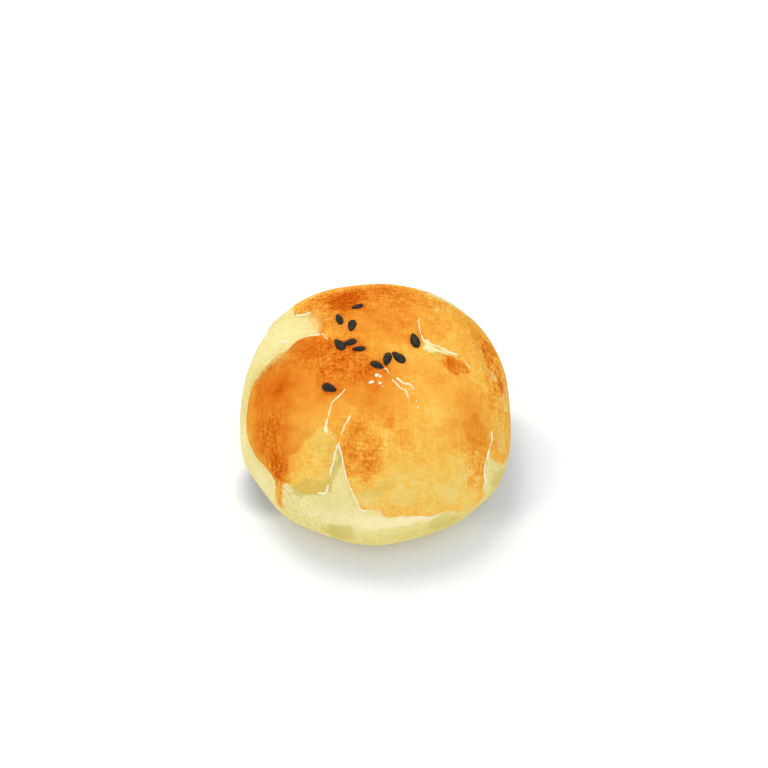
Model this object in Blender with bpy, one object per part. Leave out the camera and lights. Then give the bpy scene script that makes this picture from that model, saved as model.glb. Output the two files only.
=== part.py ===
"""Egg yolk pastry: a round bun of flaky dough with a split crust and black sesame on its crown.

Metres, +Z up. The origin is the middle of the flat underside, and -Y is the front.
A place on the skin is (azimuth, tilt) in degrees, seen from the heart of the bun: azimuth runs
round from +X towards +Y, and tilt runs down from the crown (0) past the widest line (90).
"""

import math

import bmesh
import bpy
from mathutils import Matrix, Vector, noise
from mathutils.kdtree import KDTree

MM = 0.001

# Driving sizes of the bun.
WIDTH = 60 * MM
HEIGHT = 42 * MM
GIRTH_HEIGHT = 14 * MM  # height of the widest line above the tray
FOOT_DEPTH = 17 * MM  # how deep the lower half would reach if no tray had flattened it
CROWN_FULLNESS = 2.2  # 2 is an ellipse, more is squarer
FOOT_FULLNESS = 2.75
PLAN_SQUARENESS = 0.01
PLAN_STRETCH = 0.008  # wider along X and narrower along Y by this share
TRAY_PRESS = 0.3 * MM  # dough this close to the tray is pressed onto it

# Hand-rolled unevenness of the dough: shallow dents all over, and a few broad bulges and hollows.
DENT_DEPTH = 0.5 * MM
DENTS_PER_BUN = 2.6
BULGES = (  # azimuth, tilt, reach, height
    (156, 60, 7 * MM, 0.8 * MM),
    (-165, 94, 7 * MM, 0.5 * MM),
    (-150, 101, 6 * MM, -0.7 * MM),
    (-112, 108, 7 * MM, -0.7 * MM),
    (-90, 109, 6 * MM, 0.5 * MM),
    (-64, 106, 8 * MM, -0.8 * MM),
    (-32, 98, 6 * MM, 0.5 * MM),
    (2, 86, 7 * MM, -0.5 * MM),
)

# Where the outer skin has split. Each split is its depth as a share of SPLIT_DEPTH, and a route of
# a few (azimuth, tilt) places along it.
SPLIT_DEPTH = 0.9 * MM
SPLIT_HALF_WIDTH = 0.8 * MM
LIP_HEIGHT = 0.4 * MM
SPLIT_STEP = 0.4 * MM  # spacing of the points along a route
SPLIT_NEIGHBOURS = 12  # points looked at for the deepest groove, so that meeting splits join
SPLITS = (
    (1.0, ((36, 25), (24, 21), (6, 21), (-4, 33), (-9, 44))),
    (0.7, ((-117, 28), (-123, 34), (-120, 42), (-117, 48))),
    (1.0, ((-107, 37), (-110, 47), (-111, 60), (-112, 72))),
    (0.9, ((-110, 48), (-106, 58), (-102, 67), (-96, 76))),
    (1.0, ((176, 42), (168, 33), (168, 25), (180, 20))),
    (0.25, ((-70, 22), (-65, 26), (-64, 32))),
    (0.25, ((-64, 21), (-58, 26), (-57, 31))),
    (0.8, ((-28, 62), (-31, 70), (-37, 76), (-41, 88))),
    (0.5, ((144, 50), (143, 40), (138, 34))),
    (0.9, ((72, 64), (78, 72), (70, 82), (74, 92))),
    (0.7, ((104, 64), (99, 74), (102, 86))),
)

# Bare gaps, where the skin has drawn back from a split. Each is a closed outline of such places.
SKIN_THICKNESS = 0.8 * MM
GAP_SLOPE = 1 * MM  # width over which the skin steps down into a gap
GAP_FADE = (60, 90)  # tilts between which that step runs out towards the foot
GAP_OUTLINES = (
    ((-110, 46), (-107, 54), (-103, 63), (-96, 75), (-93, 90), (-113, 90), (-112, 71), (-110, 56)),
    ((170, 34), (168, 25), (158, 21), (147, 27), (142, 37), (144, 50), (148, 72), (154, 90),
     (-164, 90), (-164, 74), (-176, 63), (-179, 54), (177, 42)),
    ((-33, 67), (-29, 76), (-24, 90), (-40, 90), (-36, 76)),
    ((73, 63), (81, 73), (88, 90), (62, 90), (66, 74)),
)

# Black sesame, each seed scaled by its length: azimuth, tilt, heading, length, roll. The heading is
# the way its point lies in plan, and the roll tips it up on its edge. Angles are in degrees.
SEED_WIDTH = 0.56  # share of the length
SEED_THICKNESS = 0.32  # share of the length
SEED_TAPER = 0.45
SEED_LIFT = 0.04  # share of the length by which its middle is above the skin, so a third is sunk
NORMAL_REACH = 0.03  # share of the bun's radius on each side over which a seed finds its slope
SEED_SEGMENTS = 8
SEED_RINGS = 4
SEEDS = (
    (112, 21.2, -158, 2.7 * MM, 0),
    (142, 19.7, 107, 3.7 * MM, 50),
    (144, 12.4, -96, 3.4 * MM, 0),
    (-168.5, 15.4, 126, 3.5 * MM, 0),
    (-168, 11, -161, 3.0 * MM, 0),
    (-141, 9, -175, 2.9 * MM, 35),
    (-1.5, 16.7, 106, 3.7 * MM, 0),
    (-65.5, 12.1, -101, 3.3 * MM, 10),
    (-45, 13.9, 140, 3.5 * MM, 0),
    (-87, 14, -26, 3.0 * MM, 0),
    (-130, 30, -26, 3.4 * MM, 0),
)

# Fineness of the solid.
CELLS = 20  # along each edge of the cube that the skin is drawn out from
RIM_CELLS_WITHIN = 2 * MM  # cells this close to a split or to a gap's rim are halved
SPLIT_CELLS_WITHIN = 1.1 * MM  # cells this close to a split are halved twice


def toward(azimuth, tilt):
    """The unit vector from the heart of the bun to that place on its skin."""
    a, t = math.radians(azimuth), math.radians(tilt)
    return Vector((math.sin(t) * math.cos(a), math.sin(t) * math.sin(a), math.cos(t)))


def place_of(direction):
    """(azimuth, tilt) in degrees of a unit vector."""
    azimuth = math.degrees(math.atan2(direction.y, direction.x))
    return azimuth, math.degrees(math.acos(max(-1.0, min(1.0, direction.z))))


def smooth_form(direction, relief=0.0):
    """The point of the bun's form in that direction: two half superellipses of revolution that
    meet at the girth, raised by relief. The lower one goes on below the tray."""
    azimuth = math.atan2(direction.y, direction.x)
    across = math.hypot(direction.x, direction.y)
    plan = 1 + PLAN_STRETCH * math.cos(2 * azimuth) - PLAN_SQUARENESS * math.cos(4 * azimuth)
    if direction.z > 0:
        rise, fullness = HEIGHT - GIRTH_HEIGHT, CROWN_FULLNESS
    else:
        rise, fullness = FOOT_DEPTH, FOOT_FULLNESS
    sideways = across / (WIDTH / 2 * plan)
    upright = abs(direction.z) / rise
    reach = (sideways**fullness + upright**fullness) ** (-1 / fullness) + relief
    return direction * reach + Vector((0, 0, GIRTH_HEIGHT))


def route_points(route, smooth=True):
    """Points on the plain form, SPLIT_STEP apart, along the smooth or straight line through some
    places. Each comes with a share that is 1 at the line's middle and closes to 0 at its ends."""
    corners = [toward(*place) for place in route]
    corners = [corners[0] * 2 - corners[1], *corners, corners[-1] * 2 - corners[-2]]
    points = []
    for before, start, end, after in zip(corners, corners[1:], corners[2:], corners[3:]):
        steps = max(1, round((smooth_form(end) - smooth_form(start)).length / SPLIT_STEP))
        for step in range(steps):
            share = step / steps
            line = catmull_rom(before, start, end, after, share) if smooth else start.lerp(end, share)
            points.append(smooth_form(line.normalized()))
    count = len(points)
    openness = [math.sin(math.pi * (number + 0.5) / count) ** 0.5 for number in range(count)]
    return list(zip(points, openness))


def catmull_rom(before, start, end, after, share):
    """The point at share of the way from start to end, on the smooth line through all four."""
    bend = before * 2 - start * 5 + end * 4 - after
    turn = start * 3 - before - end * 3 + after
    return (start * 2 + (end - before) * share + bend * share**2 + turn * share**3) / 2


class Splits:
    """Every split of the skin, with a quick way to find the nearest point of one."""

    def __init__(self):
        found = [(point, depth * share)
                 for depth, route in SPLITS for point, share in route_points(route)]
        self.openness = [share for _, share in found]
        self.tree = KDTree(len(found))
        for number, (point, _) in enumerate(found):
            self.tree.insert(point, number)
        self.tree.balance()

    def distance(self, point):
        """How far point is from the nearest split."""
        return self.tree.find(point)[2]

    def relief(self, point):
        """How far the skin stands out (or sinks in) at point because of the splits round it:
        the deepest groove of those near, with a low lip on each side of the nearest."""
        near = [(off / SPLIT_HALF_WIDTH, self.openness[number])
                for _, number, off in self.tree.find_n(point, SPLIT_NEIGHBOURS)]
        groove = max(share * math.exp(-(off**2)) for off, share in near)
        nearest, share = near[0]
        return LIP_HEIGHT * share * math.exp(-((nearest - 2) ** 2)) - SPLIT_DEPTH * groove


def on_the_flat(azimuth, tilt):
    """A place on the skin laid out flat round the crown, as a complex number of degrees."""
    return tilt * complex(math.cos(math.radians(azimuth)), math.sin(math.radians(azimuth)))


def is_inside(outline, azimuth, tilt):
    """Whether a place lies inside a closed outline, by counting the sides that a ray crosses."""
    here = on_the_flat(azimuth, tilt)
    corners = [on_the_flat(*place) - here for place in outline]
    crossings = 0
    for start, end in zip(corners, corners[1:] + corners[:1]):
        if (start.imag > 0) != (end.imag > 0):
            crossings += start.real + (end - start).real * start.imag / (start - end).imag > 0
    return crossings % 2 == 1


class Gaps:
    """The bare gaps, with how deep the skin steps down at each place."""

    def __init__(self):
        self.trees = []
        for outline in GAP_OUTLINES:
            rim = [point for point, _ in route_points((*outline, outline[0]), smooth=False)]
            tree = KDTree(len(rim))
            for number, point in enumerate(rim):
                tree.insert(point, number)
            tree.balance()
            self.trees.append(tree)

    def distance(self, point):
        """How far point is from the nearest rim of a gap."""
        return min(tree.find(point)[2] for tree in self.trees)

    def recess(self, point, azimuth, tilt):
        """How far the skin lies below its outer face at a place, point being that place's."""
        start, end = GAP_FADE
        shown = max(0.0, min(1.0, (end - tilt) / (end - start)))
        for outline, tree in zip(GAP_OUTLINES, self.trees):
            if is_inside(outline, azimuth, tilt):
                share = min(1.0, tree.find(point)[2] / GAP_SLOPE)
                return SKIN_THICKNESS * share * share * (3 - 2 * share) * shown
        return 0.0


class Skin:
    """The finished outer surface: the plain form with its dents, bulges, splits and gaps."""

    def __init__(self):
        self.splits = Splits()
        self.gaps = Gaps()
        self.bulges = [(smooth_form(toward(azimuth, tilt)), reach, height)
                       for azimuth, tilt, reach, height in BULGES]

    def unevenness(self, direction, plain):
        """How far the dough stands out there before it splits, plain being the point there."""
        bulges = sum(height * math.exp(-(((plain - middle).length / reach) ** 2))
                     for middle, reach, height in self.bulges)
        return DENT_DEPTH * noise.noise(direction * DENTS_PER_BUN) + bulges

    def point(self, direction):
        """The point of the skin in that direction from the heart."""
        plain = smooth_form(direction)
        recess = self.gaps.recess(plain, *place_of(direction))
        relief = self.unevenness(direction, plain) + self.splits.relief(plain) - recess
        return smooth_form(direction, relief)

    def normal(self, direction):
        """The skin's outward direction there, read over a patch about as wide as a seed."""
        aside = direction.orthogonal() * NORMAL_REACH
        around = direction.cross(aside)
        slopes = []
        for step in (aside, around):
            ahead = self.point((direction + step).normalized())
            behind = self.point((direction - step).normalized())
            slopes.append(ahead - behind)
        return slopes[0].cross(slopes[1]).normalized()

    def finest_halving(self, direction):
        """How many times a cell of the skin in that direction is halved: once near the rim of a
        gap or a split, and again close to a split."""
        plain = smooth_form(direction)
        to_split = self.splits.distance(plain)
        if to_split < SPLIT_CELLS_WITHIN:
            return 2
        return int(min(to_split, self.gaps.distance(plain)) < RIM_CELLS_WITHIN)


def cube_to_sphere(position):
    """A point of a cube of half-side 1 as a direction, with the cells kept about equal."""
    return Vector([math.tan(value * math.pi / 4) for value in position]).normalized()


def cut_flat(bm):
    """Cuts the foot off where the dough sat on the tray, and closes it with one flat face."""
    for vert in bm.verts:
        if abs(vert.co.z) < TRAY_PRESS:
            vert.co.z = 0
    whole = bm.verts[:] + bm.edges[:] + bm.faces[:]
    cut = bmesh.ops.bisect_plane(bm, geom=whole, plane_no=(0, 0, -1), clear_outer=True)
    rim = [item for item in cut["geom_cut"] if isinstance(item, bmesh.types.BMEdge)]
    for edge in rim:
        for vert in edge.verts:
            vert.co.z = 0
    bmesh.ops.edgeloop_fill(bm, edges=rim)
    bmesh.ops.recalc_face_normals(bm, faces=bm.faces[:])


def make_bun(skin):
    """The bun: a finely divided cube drawn out to a sphere, then to the skin, and cut flat."""
    bm = bmesh.new()
    bmesh.ops.create_cube(bm, size=2)
    bmesh.ops.subdivide_edges(bm, edges=bm.edges[:], cuts=CELLS - 1, use_grid_fill=True)
    for vert in bm.verts:
        vert.co = cube_to_sphere(vert.co)
    for halving in (1, 2):
        near = []
        for edge in bm.edges:
            middle = (edge.verts[0].co + edge.verts[1].co).normalized()
            if skin.finest_halving(middle) >= halving:
                near.append(edge)
        bmesh.ops.subdivide_edges(bm, edges=near, cuts=1, use_grid_fill=True)
        for vert in bm.verts:
            vert.co.normalize()
    for vert in bm.verts:
        vert.co = skin.point(vert.co)
    cut_flat(bm)
    bmesh.ops.triangulate(bm, faces=bm.faces[:])
    mesh = bpy.data.meshes.new("pastry")
    bm.to_mesh(mesh)
    bm.free()
    mesh.shade_smooth()
    return bpy.data.objects.new("pastry", mesh)


def make_seed_mesh():
    """One sesame seed of length 1 along +X: a flat drop with its point at +X."""
    bm = bmesh.new()
    bmesh.ops.create_uvsphere(bm, u_segments=SEED_SEGMENTS, v_segments=SEED_RINGS, radius=0.5)
    for vert in bm.verts:
        along, side, up = vert.co.z, vert.co.y, vert.co.x
        slim = 1 - SEED_TAPER * along
        vert.co = (along, side * SEED_WIDTH * slim, up * SEED_THICKNESS)
    bmesh.ops.recalc_face_normals(bm, faces=bm.faces[:])
    mesh = bpy.data.meshes.new("sesame_seed")
    bm.to_mesh(mesh)
    bm.free()
    return mesh


def seed_matrix(skin, azimuth, tilt, heading, length, roll):
    """Lays a seed on the skin at that place, with its point towards heading."""
    here = toward(azimuth, tilt)
    normal = skin.normal(here)
    along = Vector((math.cos(math.radians(heading)), math.sin(math.radians(heading)), 0))
    along = (along - normal * along.dot(normal)).normalized()
    turn = Matrix((along, normal.cross(along), normal)).transposed().to_4x4()
    middle = skin.point(here) + normal * SEED_LIFT * length
    tip = Matrix.Rotation(math.radians(roll), 4, "X")
    return Matrix.Translation(middle) @ turn @ tip @ Matrix.Scale(length, 4)


def fuse_seeds(bun, skin):
    """Joins the sesame to the bun with one Boolean union, as baked seeds are stuck in the glaze."""
    sesame = bpy.data.collections.new("sesame")
    bpy.context.scene.collection.children.link(sesame)
    mesh = make_seed_mesh()
    for number, seed_place in enumerate(SEEDS):
        seed = bpy.data.objects.new(f"seed_{number:02d}", mesh)
        seed.matrix_world = seed_matrix(skin, *seed_place)
        sesame.objects.link(seed)
    join = bun.modifiers.new("fuse_seeds", "BOOLEAN")
    join.operation = "UNION"
    join.operand_type = "COLLECTION"
    join.collection = sesame
    join.solver = "EXACT"
    with bpy.context.temp_override(object=bun, active_object=bun):
        bpy.ops.object.modifier_apply(modifier=join.name)
    for seed in list(sesame.objects):
        bpy.data.objects.remove(seed)
    bpy.data.collections.remove(sesame)


def baked_crust():
    """Egg-washed flaky pastry: golden, dry below and glossy above."""
    material = bpy.data.materials.new("baked_crust")
    material.use_nodes = True
    shader = material.node_tree.nodes["Principled BSDF"]
    shader.inputs["Base Color"].default_value = (0.87, 0.46, 0.09, 1)
    shader.inputs["Roughness"].default_value = 0.4
    shader.inputs["Metallic"].default_value = 0
    return material


def main():
    for old in list(bpy.data.objects):
        bpy.data.objects.remove(old)
    pastry = bpy.data.collections.new("egg_yolk_pastry")
    bpy.context.scene.collection.children.link(pastry)
    skin = Skin()
    bun = make_bun(skin)
    pastry.objects.link(bun)
    bun.data.materials.append(baked_crust())
    fuse_seeds(bun, skin)


main()
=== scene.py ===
# %% [markdown]
# # An egg yolk pastry
# A ball of flaky dough is wrapped round a salted yolk, brushed with egg wash, given a pinch of black
# sesame and baked. In the oven the crown browns, the skin splits, and the pale layers below show.
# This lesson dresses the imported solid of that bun: first its crust, then the torn edges of its
# splits, a few loose flakes, the sesame, and at last the paper, the light and the camera.

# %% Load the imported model
import math

import bmesh
import bpy
import numpy as np
from mathutils import Matrix, Vector, noise
from mathutils.bvhtree import BVHTree
from mathutils.kdtree import KDTree


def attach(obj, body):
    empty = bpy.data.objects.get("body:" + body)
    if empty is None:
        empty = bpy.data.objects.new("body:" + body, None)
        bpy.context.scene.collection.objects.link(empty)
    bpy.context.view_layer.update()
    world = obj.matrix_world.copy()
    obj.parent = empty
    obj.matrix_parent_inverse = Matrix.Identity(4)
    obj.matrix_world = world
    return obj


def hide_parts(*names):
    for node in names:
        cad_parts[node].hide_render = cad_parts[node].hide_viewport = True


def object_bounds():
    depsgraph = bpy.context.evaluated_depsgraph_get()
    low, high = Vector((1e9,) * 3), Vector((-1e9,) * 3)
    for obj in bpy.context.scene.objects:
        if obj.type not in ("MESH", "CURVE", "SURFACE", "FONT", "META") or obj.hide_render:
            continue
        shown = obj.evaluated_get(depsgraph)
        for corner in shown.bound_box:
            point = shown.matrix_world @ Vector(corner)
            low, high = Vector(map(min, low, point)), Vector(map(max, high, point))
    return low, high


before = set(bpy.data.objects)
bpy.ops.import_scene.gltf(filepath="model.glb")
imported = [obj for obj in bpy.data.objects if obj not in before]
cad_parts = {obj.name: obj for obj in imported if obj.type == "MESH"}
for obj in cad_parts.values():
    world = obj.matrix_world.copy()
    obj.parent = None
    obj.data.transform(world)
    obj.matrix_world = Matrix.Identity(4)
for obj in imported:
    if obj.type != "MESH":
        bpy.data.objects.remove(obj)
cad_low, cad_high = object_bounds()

MM = 0.001
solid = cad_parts["pastry"]
print("solid:", [round((high - low) / MM, 1) for low, high in zip(cad_low, cad_high)], "mm,",
      len(solid.data.polygons), "faces")

# %% [markdown]
# ## Places on a bun
# A bun has no straight edges to measure from, so a place on it is told as on a globe: azimuth runs
# round from +X towards +Y, and tilt runs down from the crown (0) past the widest line (90), both in
# degrees and seen from the heart of the bun. Everything below works on whole arrays of places.

# %% Directions from the heart
GIRTH_HEIGHT = 14 * MM  # height of the widest line above the tray, and of the heart


def toward(azimuth, tilt):
    """Unit vectors from the heart to places on the skin."""
    a, t = np.radians(azimuth), np.radians(tilt)
    return np.stack([np.sin(t) * np.cos(a), np.sin(t) * np.sin(a), np.cos(t)], axis=-1)


def place_of(directions):
    """(azimuth, tilt) in degrees of unit vectors."""
    x, y, z = np.moveaxis(directions, -1, 0)
    return np.degrees(np.arctan2(y, x)), np.degrees(np.arccos(np.clip(z, -1, 1)))


def smoothstep(values, low, high):
    """0 below low, 1 above high, and an even S between."""
    share = np.clip((values - low) / (high - low), 0, 1)
    return share * share * (3 - 2 * share)


print("front of the girth:", toward(-90, 90).round(3))

# %% [markdown]
# ## The plain form
# The dough is rolled between the palms, so its crown is nearly an ellipse, while the foot is fuller
# where it slumped on the tray. Two half superellipses of revolution that meet at the girth give
# that, with the same sizes as the solid, so that the dressed crust lies on the solid's own skin.

# %% The bun before it splits
WIDTH = 60 * MM
HEIGHT = 42 * MM
FOOT_DEPTH = 17 * MM  # how deep the lower half would reach if no tray had flattened it
CROWN_FULLNESS = 2.2  # 2 is an ellipse, more is squarer
FOOT_FULLNESS = 2.75
PLAN_SQUARENESS = 0.01
PLAN_STRETCH = 0.008  # wider along X and narrower along Y by this share


def plain_form(directions, relief=0.0):
    """The points of the plain bun in those directions, raised by relief."""
    x, y, z = np.moveaxis(directions, -1, 0)
    azimuth = np.arctan2(y, x)
    plan = 1 + PLAN_STRETCH * np.cos(2 * azimuth) - PLAN_SQUARENESS * np.cos(4 * azimuth)
    rise = np.where(z > 0, HEIGHT - GIRTH_HEIGHT, FOOT_DEPTH)
    fullness = np.where(z > 0, CROWN_FULLNESS, FOOT_FULLNESS)
    sideways = np.hypot(x, y) / (WIDTH / 2 * plan)
    upright = np.abs(z) / rise
    reach = (sideways**fullness + upright**fullness) ** (-1 / fullness) + relief
    return directions * reach[..., None] + (0, 0, GIRTH_HEIGHT)


print("crown at", plain_form(toward(0, 0)).round(4), "m")

# %% [markdown]
# ## Unevenness
# No bun leaves the palms evenly: it has low bulges, and dents where fingers pressed it. A Displace
# modifier with a cloud texture would scatter such lumps anywhere. Here each bulge is a soft
# Gaussian hill at a place of its own, because the bun's outline depends on them, and smooth noise
# adds the small dents.

# %% Hand-rolled unevenness
DENT_DEPTH = 0.5 * MM
DENTS_PER_RADIUS = 2.6  # lumps of noise over half the bun's width
BULGES = (  # azimuth, tilt, reach, height
    (156, 60, 7 * MM, 0.8 * MM),
    (-165, 94, 7 * MM, 0.5 * MM),
    (-150, 101, 6 * MM, -0.7 * MM),
    (-112, 108, 7 * MM, -0.7 * MM),
    (-90, 109, 6 * MM, 0.5 * MM),
    (-64, 106, 8 * MM, -0.8 * MM),
    (-32, 98, 6 * MM, 0.5 * MM),
    (2, 86, 7 * MM, -0.5 * MM),
)


def noise_at(points, spacing, shift=0.0):
    """Smooth noise from about -1 to 1 at each point, its lumps about spacing apart."""
    return np.array([noise.noise(Vector(point)) for point in np.atleast_2d(points) / spacing + shift])


def unevenness(directions, plain):
    """How far the dough stands out before it splits."""
    relief = DENT_DEPTH * noise_at(directions, 1 / DENTS_PER_RADIUS)
    for azimuth, tilt, reach, height in BULGES:
        off = np.linalg.norm(plain - plain_form(toward(azimuth, tilt)), axis=-1)
        relief += height * np.exp(-((off / reach) ** 2))
    return relief


print("dents of", DENT_DEPTH / MM, "mm and", len(BULGES), "bulges")

# %% [markdown]
# ## Splits
# As the steam comes out, the skin tears along a few lines. Each split is a shallow groove with a low
# lip on both sides. It could be carved with a Boolean, but a groove that is worked out from the
# distance to a line closes softly at its ends and joins cleanly where two splits meet.

# %% Lines on the skin
STEP = 0.4 * MM  # spacing of the points along a line


def line_points(places, smooth=True):
    """Points on the plain form, STEP apart, along the line through places: straight, or smooth as
    a Catmull-Rom curve."""
    corners = toward(*np.array(places, float).T)
    corners = np.vstack([2 * corners[:1] - corners[1:2], corners, 2 * corners[-1:] - corners[-2:-1]])
    line = []
    for before, start, end, after in zip(corners, corners[1:], corners[2:], corners[3:]):
        count = max(1, round(np.linalg.norm(plain_form(end) - plain_form(start)) / STEP))
        share = (np.arange(count) / count)[:, None]
        if smooth:
            bend = 2 * before - 5 * start + 4 * end - after
            turn = 3 * start - before - 3 * end + after
            line.append((2 * start + (end - before) * share + bend * share**2 + turn * share**3) / 2)
        else:
            line.append(start + (end - start) * share)
    line = np.vstack(line)
    return plain_form(line / np.linalg.norm(line, axis=1, keepdims=True))


def grow_tree(points):
    """A quick finder of the nearest of some points."""
    tree = KDTree(len(points))
    for number, point in enumerate(points):
        tree.insert(point, number)
    tree.balance()
    return tree


def opening(count):
    """For each point of a line, how open a tear is there: 1 in the middle, closing at the ends."""
    return np.sqrt(np.sin(np.pi * (np.arange(count) + 0.5) / count))


print("a straight line of", len(line_points(((0, 10), (0, 20)))), "points")

# %% [markdown]
# ## Grooves and lips
# A split is deepest along its line and closes at its ends, and the skin beside it curls up into a
# low lip. Carving it by hand would never give the same bun twice. A Gaussian of the distance to the
# line makes the groove, and the same curve moved aside makes the lip. Several points of the lines
# are looked at, so that two splits that meet share one valley.

# %% The grooves of the splits
SPLIT_DEPTH = 0.9 * MM
SPLIT_HALF_WIDTH = 0.8 * MM
LIP_HEIGHT = 0.4 * MM
LIP_PLACE = 2  # how far aside the lip is highest, in half widths
SPLIT_NEIGHBOURS = 12  # points looked at for the deepest groove, so that meeting splits join
SPLITS = (  # depth as a share of SPLIT_DEPTH, and the places that the split runs through
    (1.0, ((36, 25), (24, 21), (6, 21), (-4, 33), (-9, 44))),
    (0.7, ((-117, 28), (-123, 34), (-120, 42), (-117, 48))),
    (1.0, ((-107, 37), (-110, 47), (-111, 60), (-112, 72))),
    (0.9, ((-110, 48), (-106, 58), (-102, 67), (-96, 76))),
    (1.0, ((176, 42), (168, 33), (168, 25), (180, 20))),
    (0.25, ((-70, 22), (-65, 26), (-64, 32))),
    (0.25, ((-64, 21), (-58, 26), (-57, 31))),
    (0.8, ((-28, 62), (-31, 70), (-37, 76), (-41, 88))),
    (0.5, ((144, 50), (143, 40), (138, 34))),
    (0.9, ((72, 64), (78, 72), (70, 82), (74, 92))),
    (0.7, ((104, 64), (99, 74), (102, 86))),
)
TORN_FILL = 0.5  # share of a groove that its torn layers fill again, too fine for the solid

split_lines = [line_points(places) for _, places in SPLITS]
split_tree = grow_tree(np.vstack(split_lines))
split_openness = np.concatenate(
    [depth * opening(len(line)) for (depth, _), line in zip(SPLITS, split_lines)])


def split_relief(plain, fill=0.0):
    """How far the skin stands out or sinks in because of the splits round each point."""
    relief = np.empty(len(plain))
    for row, point in enumerate(plain):
        near = [(off / SPLIT_HALF_WIDTH, split_openness[number])
                for _, number, off in split_tree.find_n(point, SPLIT_NEIGHBOURS)]
        groove = max(share * math.exp(-(off**2)) for off, share in near)
        off, share = near[0]
        lip = LIP_HEIGHT * share * math.exp(-((off - LIP_PLACE) ** 2))
        relief[row] = lip - SPLIT_DEPTH * (1 - fill) * groove
    return relief


print(len(SPLITS), "splits,", len(split_openness), "points along them")

# %% [markdown]
# ## Bare gaps
# Beside some splits the skin has drawn back and left the inner dough bare. A gap is a closed outline
# of places. Laid out flat round the crown, tilt becomes the distance from the middle, and the usual
# test of how many sides a ray crosses says what lies inside.

# %% Inside or outside an outline
def on_the_flat(azimuth, tilt):
    """Places laid out flat round the crown, as complex numbers of degrees."""
    return tilt * np.exp(1j * np.radians(azimuth))


def is_inside(outline, azimuth, tilt):
    """Which places lie inside a closed outline."""
    here = on_the_flat(azimuth, tilt)
    corners = on_the_flat(*np.array(outline, float).T)
    inside = np.zeros(len(here), bool)
    for start, end in zip(corners, np.roll(corners, -1)):
        a, b = start - here, end - here
        spans = (a.imag > 0) != (b.imag > 0)
        rise = np.where(spans, a.imag - b.imag, 1)
        inside ^= spans & (a.real + (b - a).real * a.imag / rise > 0)
    return inside


square = ((45, 10), (135, 10), (-135, 10), (-45, 10))
print("inside a square on the crown:", is_inside(square, np.array((0, 0)), np.array((5, 15))))

# %% [markdown]
# ## The step into a gap
# The dough in a gap lies about one skin lower than the crust beside it. Cutting the mesh along the
# outline would leave a hard edge and slivers of faces. Instead each point asks how far inside the
# rim it lies and sinks by a smooth step of that distance, which runs out towards the foot.

# %% The gaps and how deep the skin steps down into them
SKIN_THICKNESS = 0.8 * MM
GAP_SLOPE = 1 * MM  # width over which the skin steps down into a gap
GAP_FADE = (60, 90)  # tilts between which that step runs out towards the foot
GAPS = (
    ((-110, 46), (-107, 54), (-103, 63), (-96, 75), (-93, 90), (-113, 90), (-112, 71), (-110, 56)),
    ((170, 34), (168, 25), (158, 21), (147, 27), (142, 37), (144, 50), (148, 72), (154, 90),
     (-164, 90), (-164, 74), (-176, 63), (-179, 54), (177, 42)),
    ((-33, 67), (-29, 76), (-24, 90), (-40, 90), (-36, 76)),
    ((73, 63), (81, 73), (88, 90), (62, 90), (66, 74)),
)


def nearest(tree, points):
    """How far each point is from the nearest of a tree's, and which that is."""
    found = [tree.find(point) for point in points]
    return np.array([off for _, _, off in found]), np.array([number for _, number, _ in found])


def gap_recess(plain, azimuth, tilt):
    """How far the skin lies below its outer face, and how far inside a gap's rim each place is."""
    start, end = GAP_FADE
    shown = np.clip((end - tilt) / (end - start), 0, 1)
    recess, within = np.zeros(len(plain)), np.zeros(len(plain))
    for outline in GAPS:
        inside = is_inside(outline, azimuth, tilt)
        rim = grow_tree(line_points((*outline, outline[0]), smooth=False))
        within[inside] = nearest(rim, plain[inside])[0]
        recess[inside] = SKIN_THICKNESS * smoothstep(within[inside], 0, GAP_SLOPE) * shown[inside]
    return recess, within


print(len(GAPS), "gaps")

# %% [markdown]
# ## The whole skin
# Unevenness, splits and gaps are added up along the ray from the heart, with any finer relief on
# top. A sculpted skin would have to be fitted to the solid by eye, while a formula can be tested:
# some places are worked out here and measured against the solid's own surface.

# %% The skin as the solid has it
def skin_points(directions, finer=0.0, fill=0.0):
    """The finished outer surface in those directions, with any finer relief on top."""
    plain = plain_form(directions)
    recess, _ = gap_recess(plain, *place_of(directions))
    relief = unevenness(directions, plain) + split_relief(plain, fill) - recess + finer
    return plain_form(directions, relief)


PROBE_AZIMUTHS = np.arange(-180, 180, 7.0)
PROBE_TILTS = (12, 35, 58, 81, 100)  # taken in turn

probe = toward(PROBE_AZIMUTHS, np.resize(PROBE_TILTS, len(PROBE_AZIMUTHS)))
solid_tree = BVHTree.FromObject(solid, bpy.context.evaluated_depsgraph_get())
off_solid = [solid_tree.find_nearest(Vector(point))[3] for point in skin_points(probe)]
print("the formula lies", round(float(np.mean(off_solid)) / MM, 3), "mm off the solid on average and",
      round(max(off_solid) / MM, 3), "mm at most")

# %% [markdown]
# ## Where the egg wash ends
# The wash is brushed on from the crown, and its lower edge wanders: crisp along a tear, soft where
# the brush ran dry, with one drip. One closed outline holds all that. At each of its corners a third
# number says over how many millimetres the wash fades out. What the crust mesh stores is only how
# far a point lies within that edge, because a distance runs evenly from vertex to vertex and the
# finish can cut it as sharply as it likes.

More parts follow.
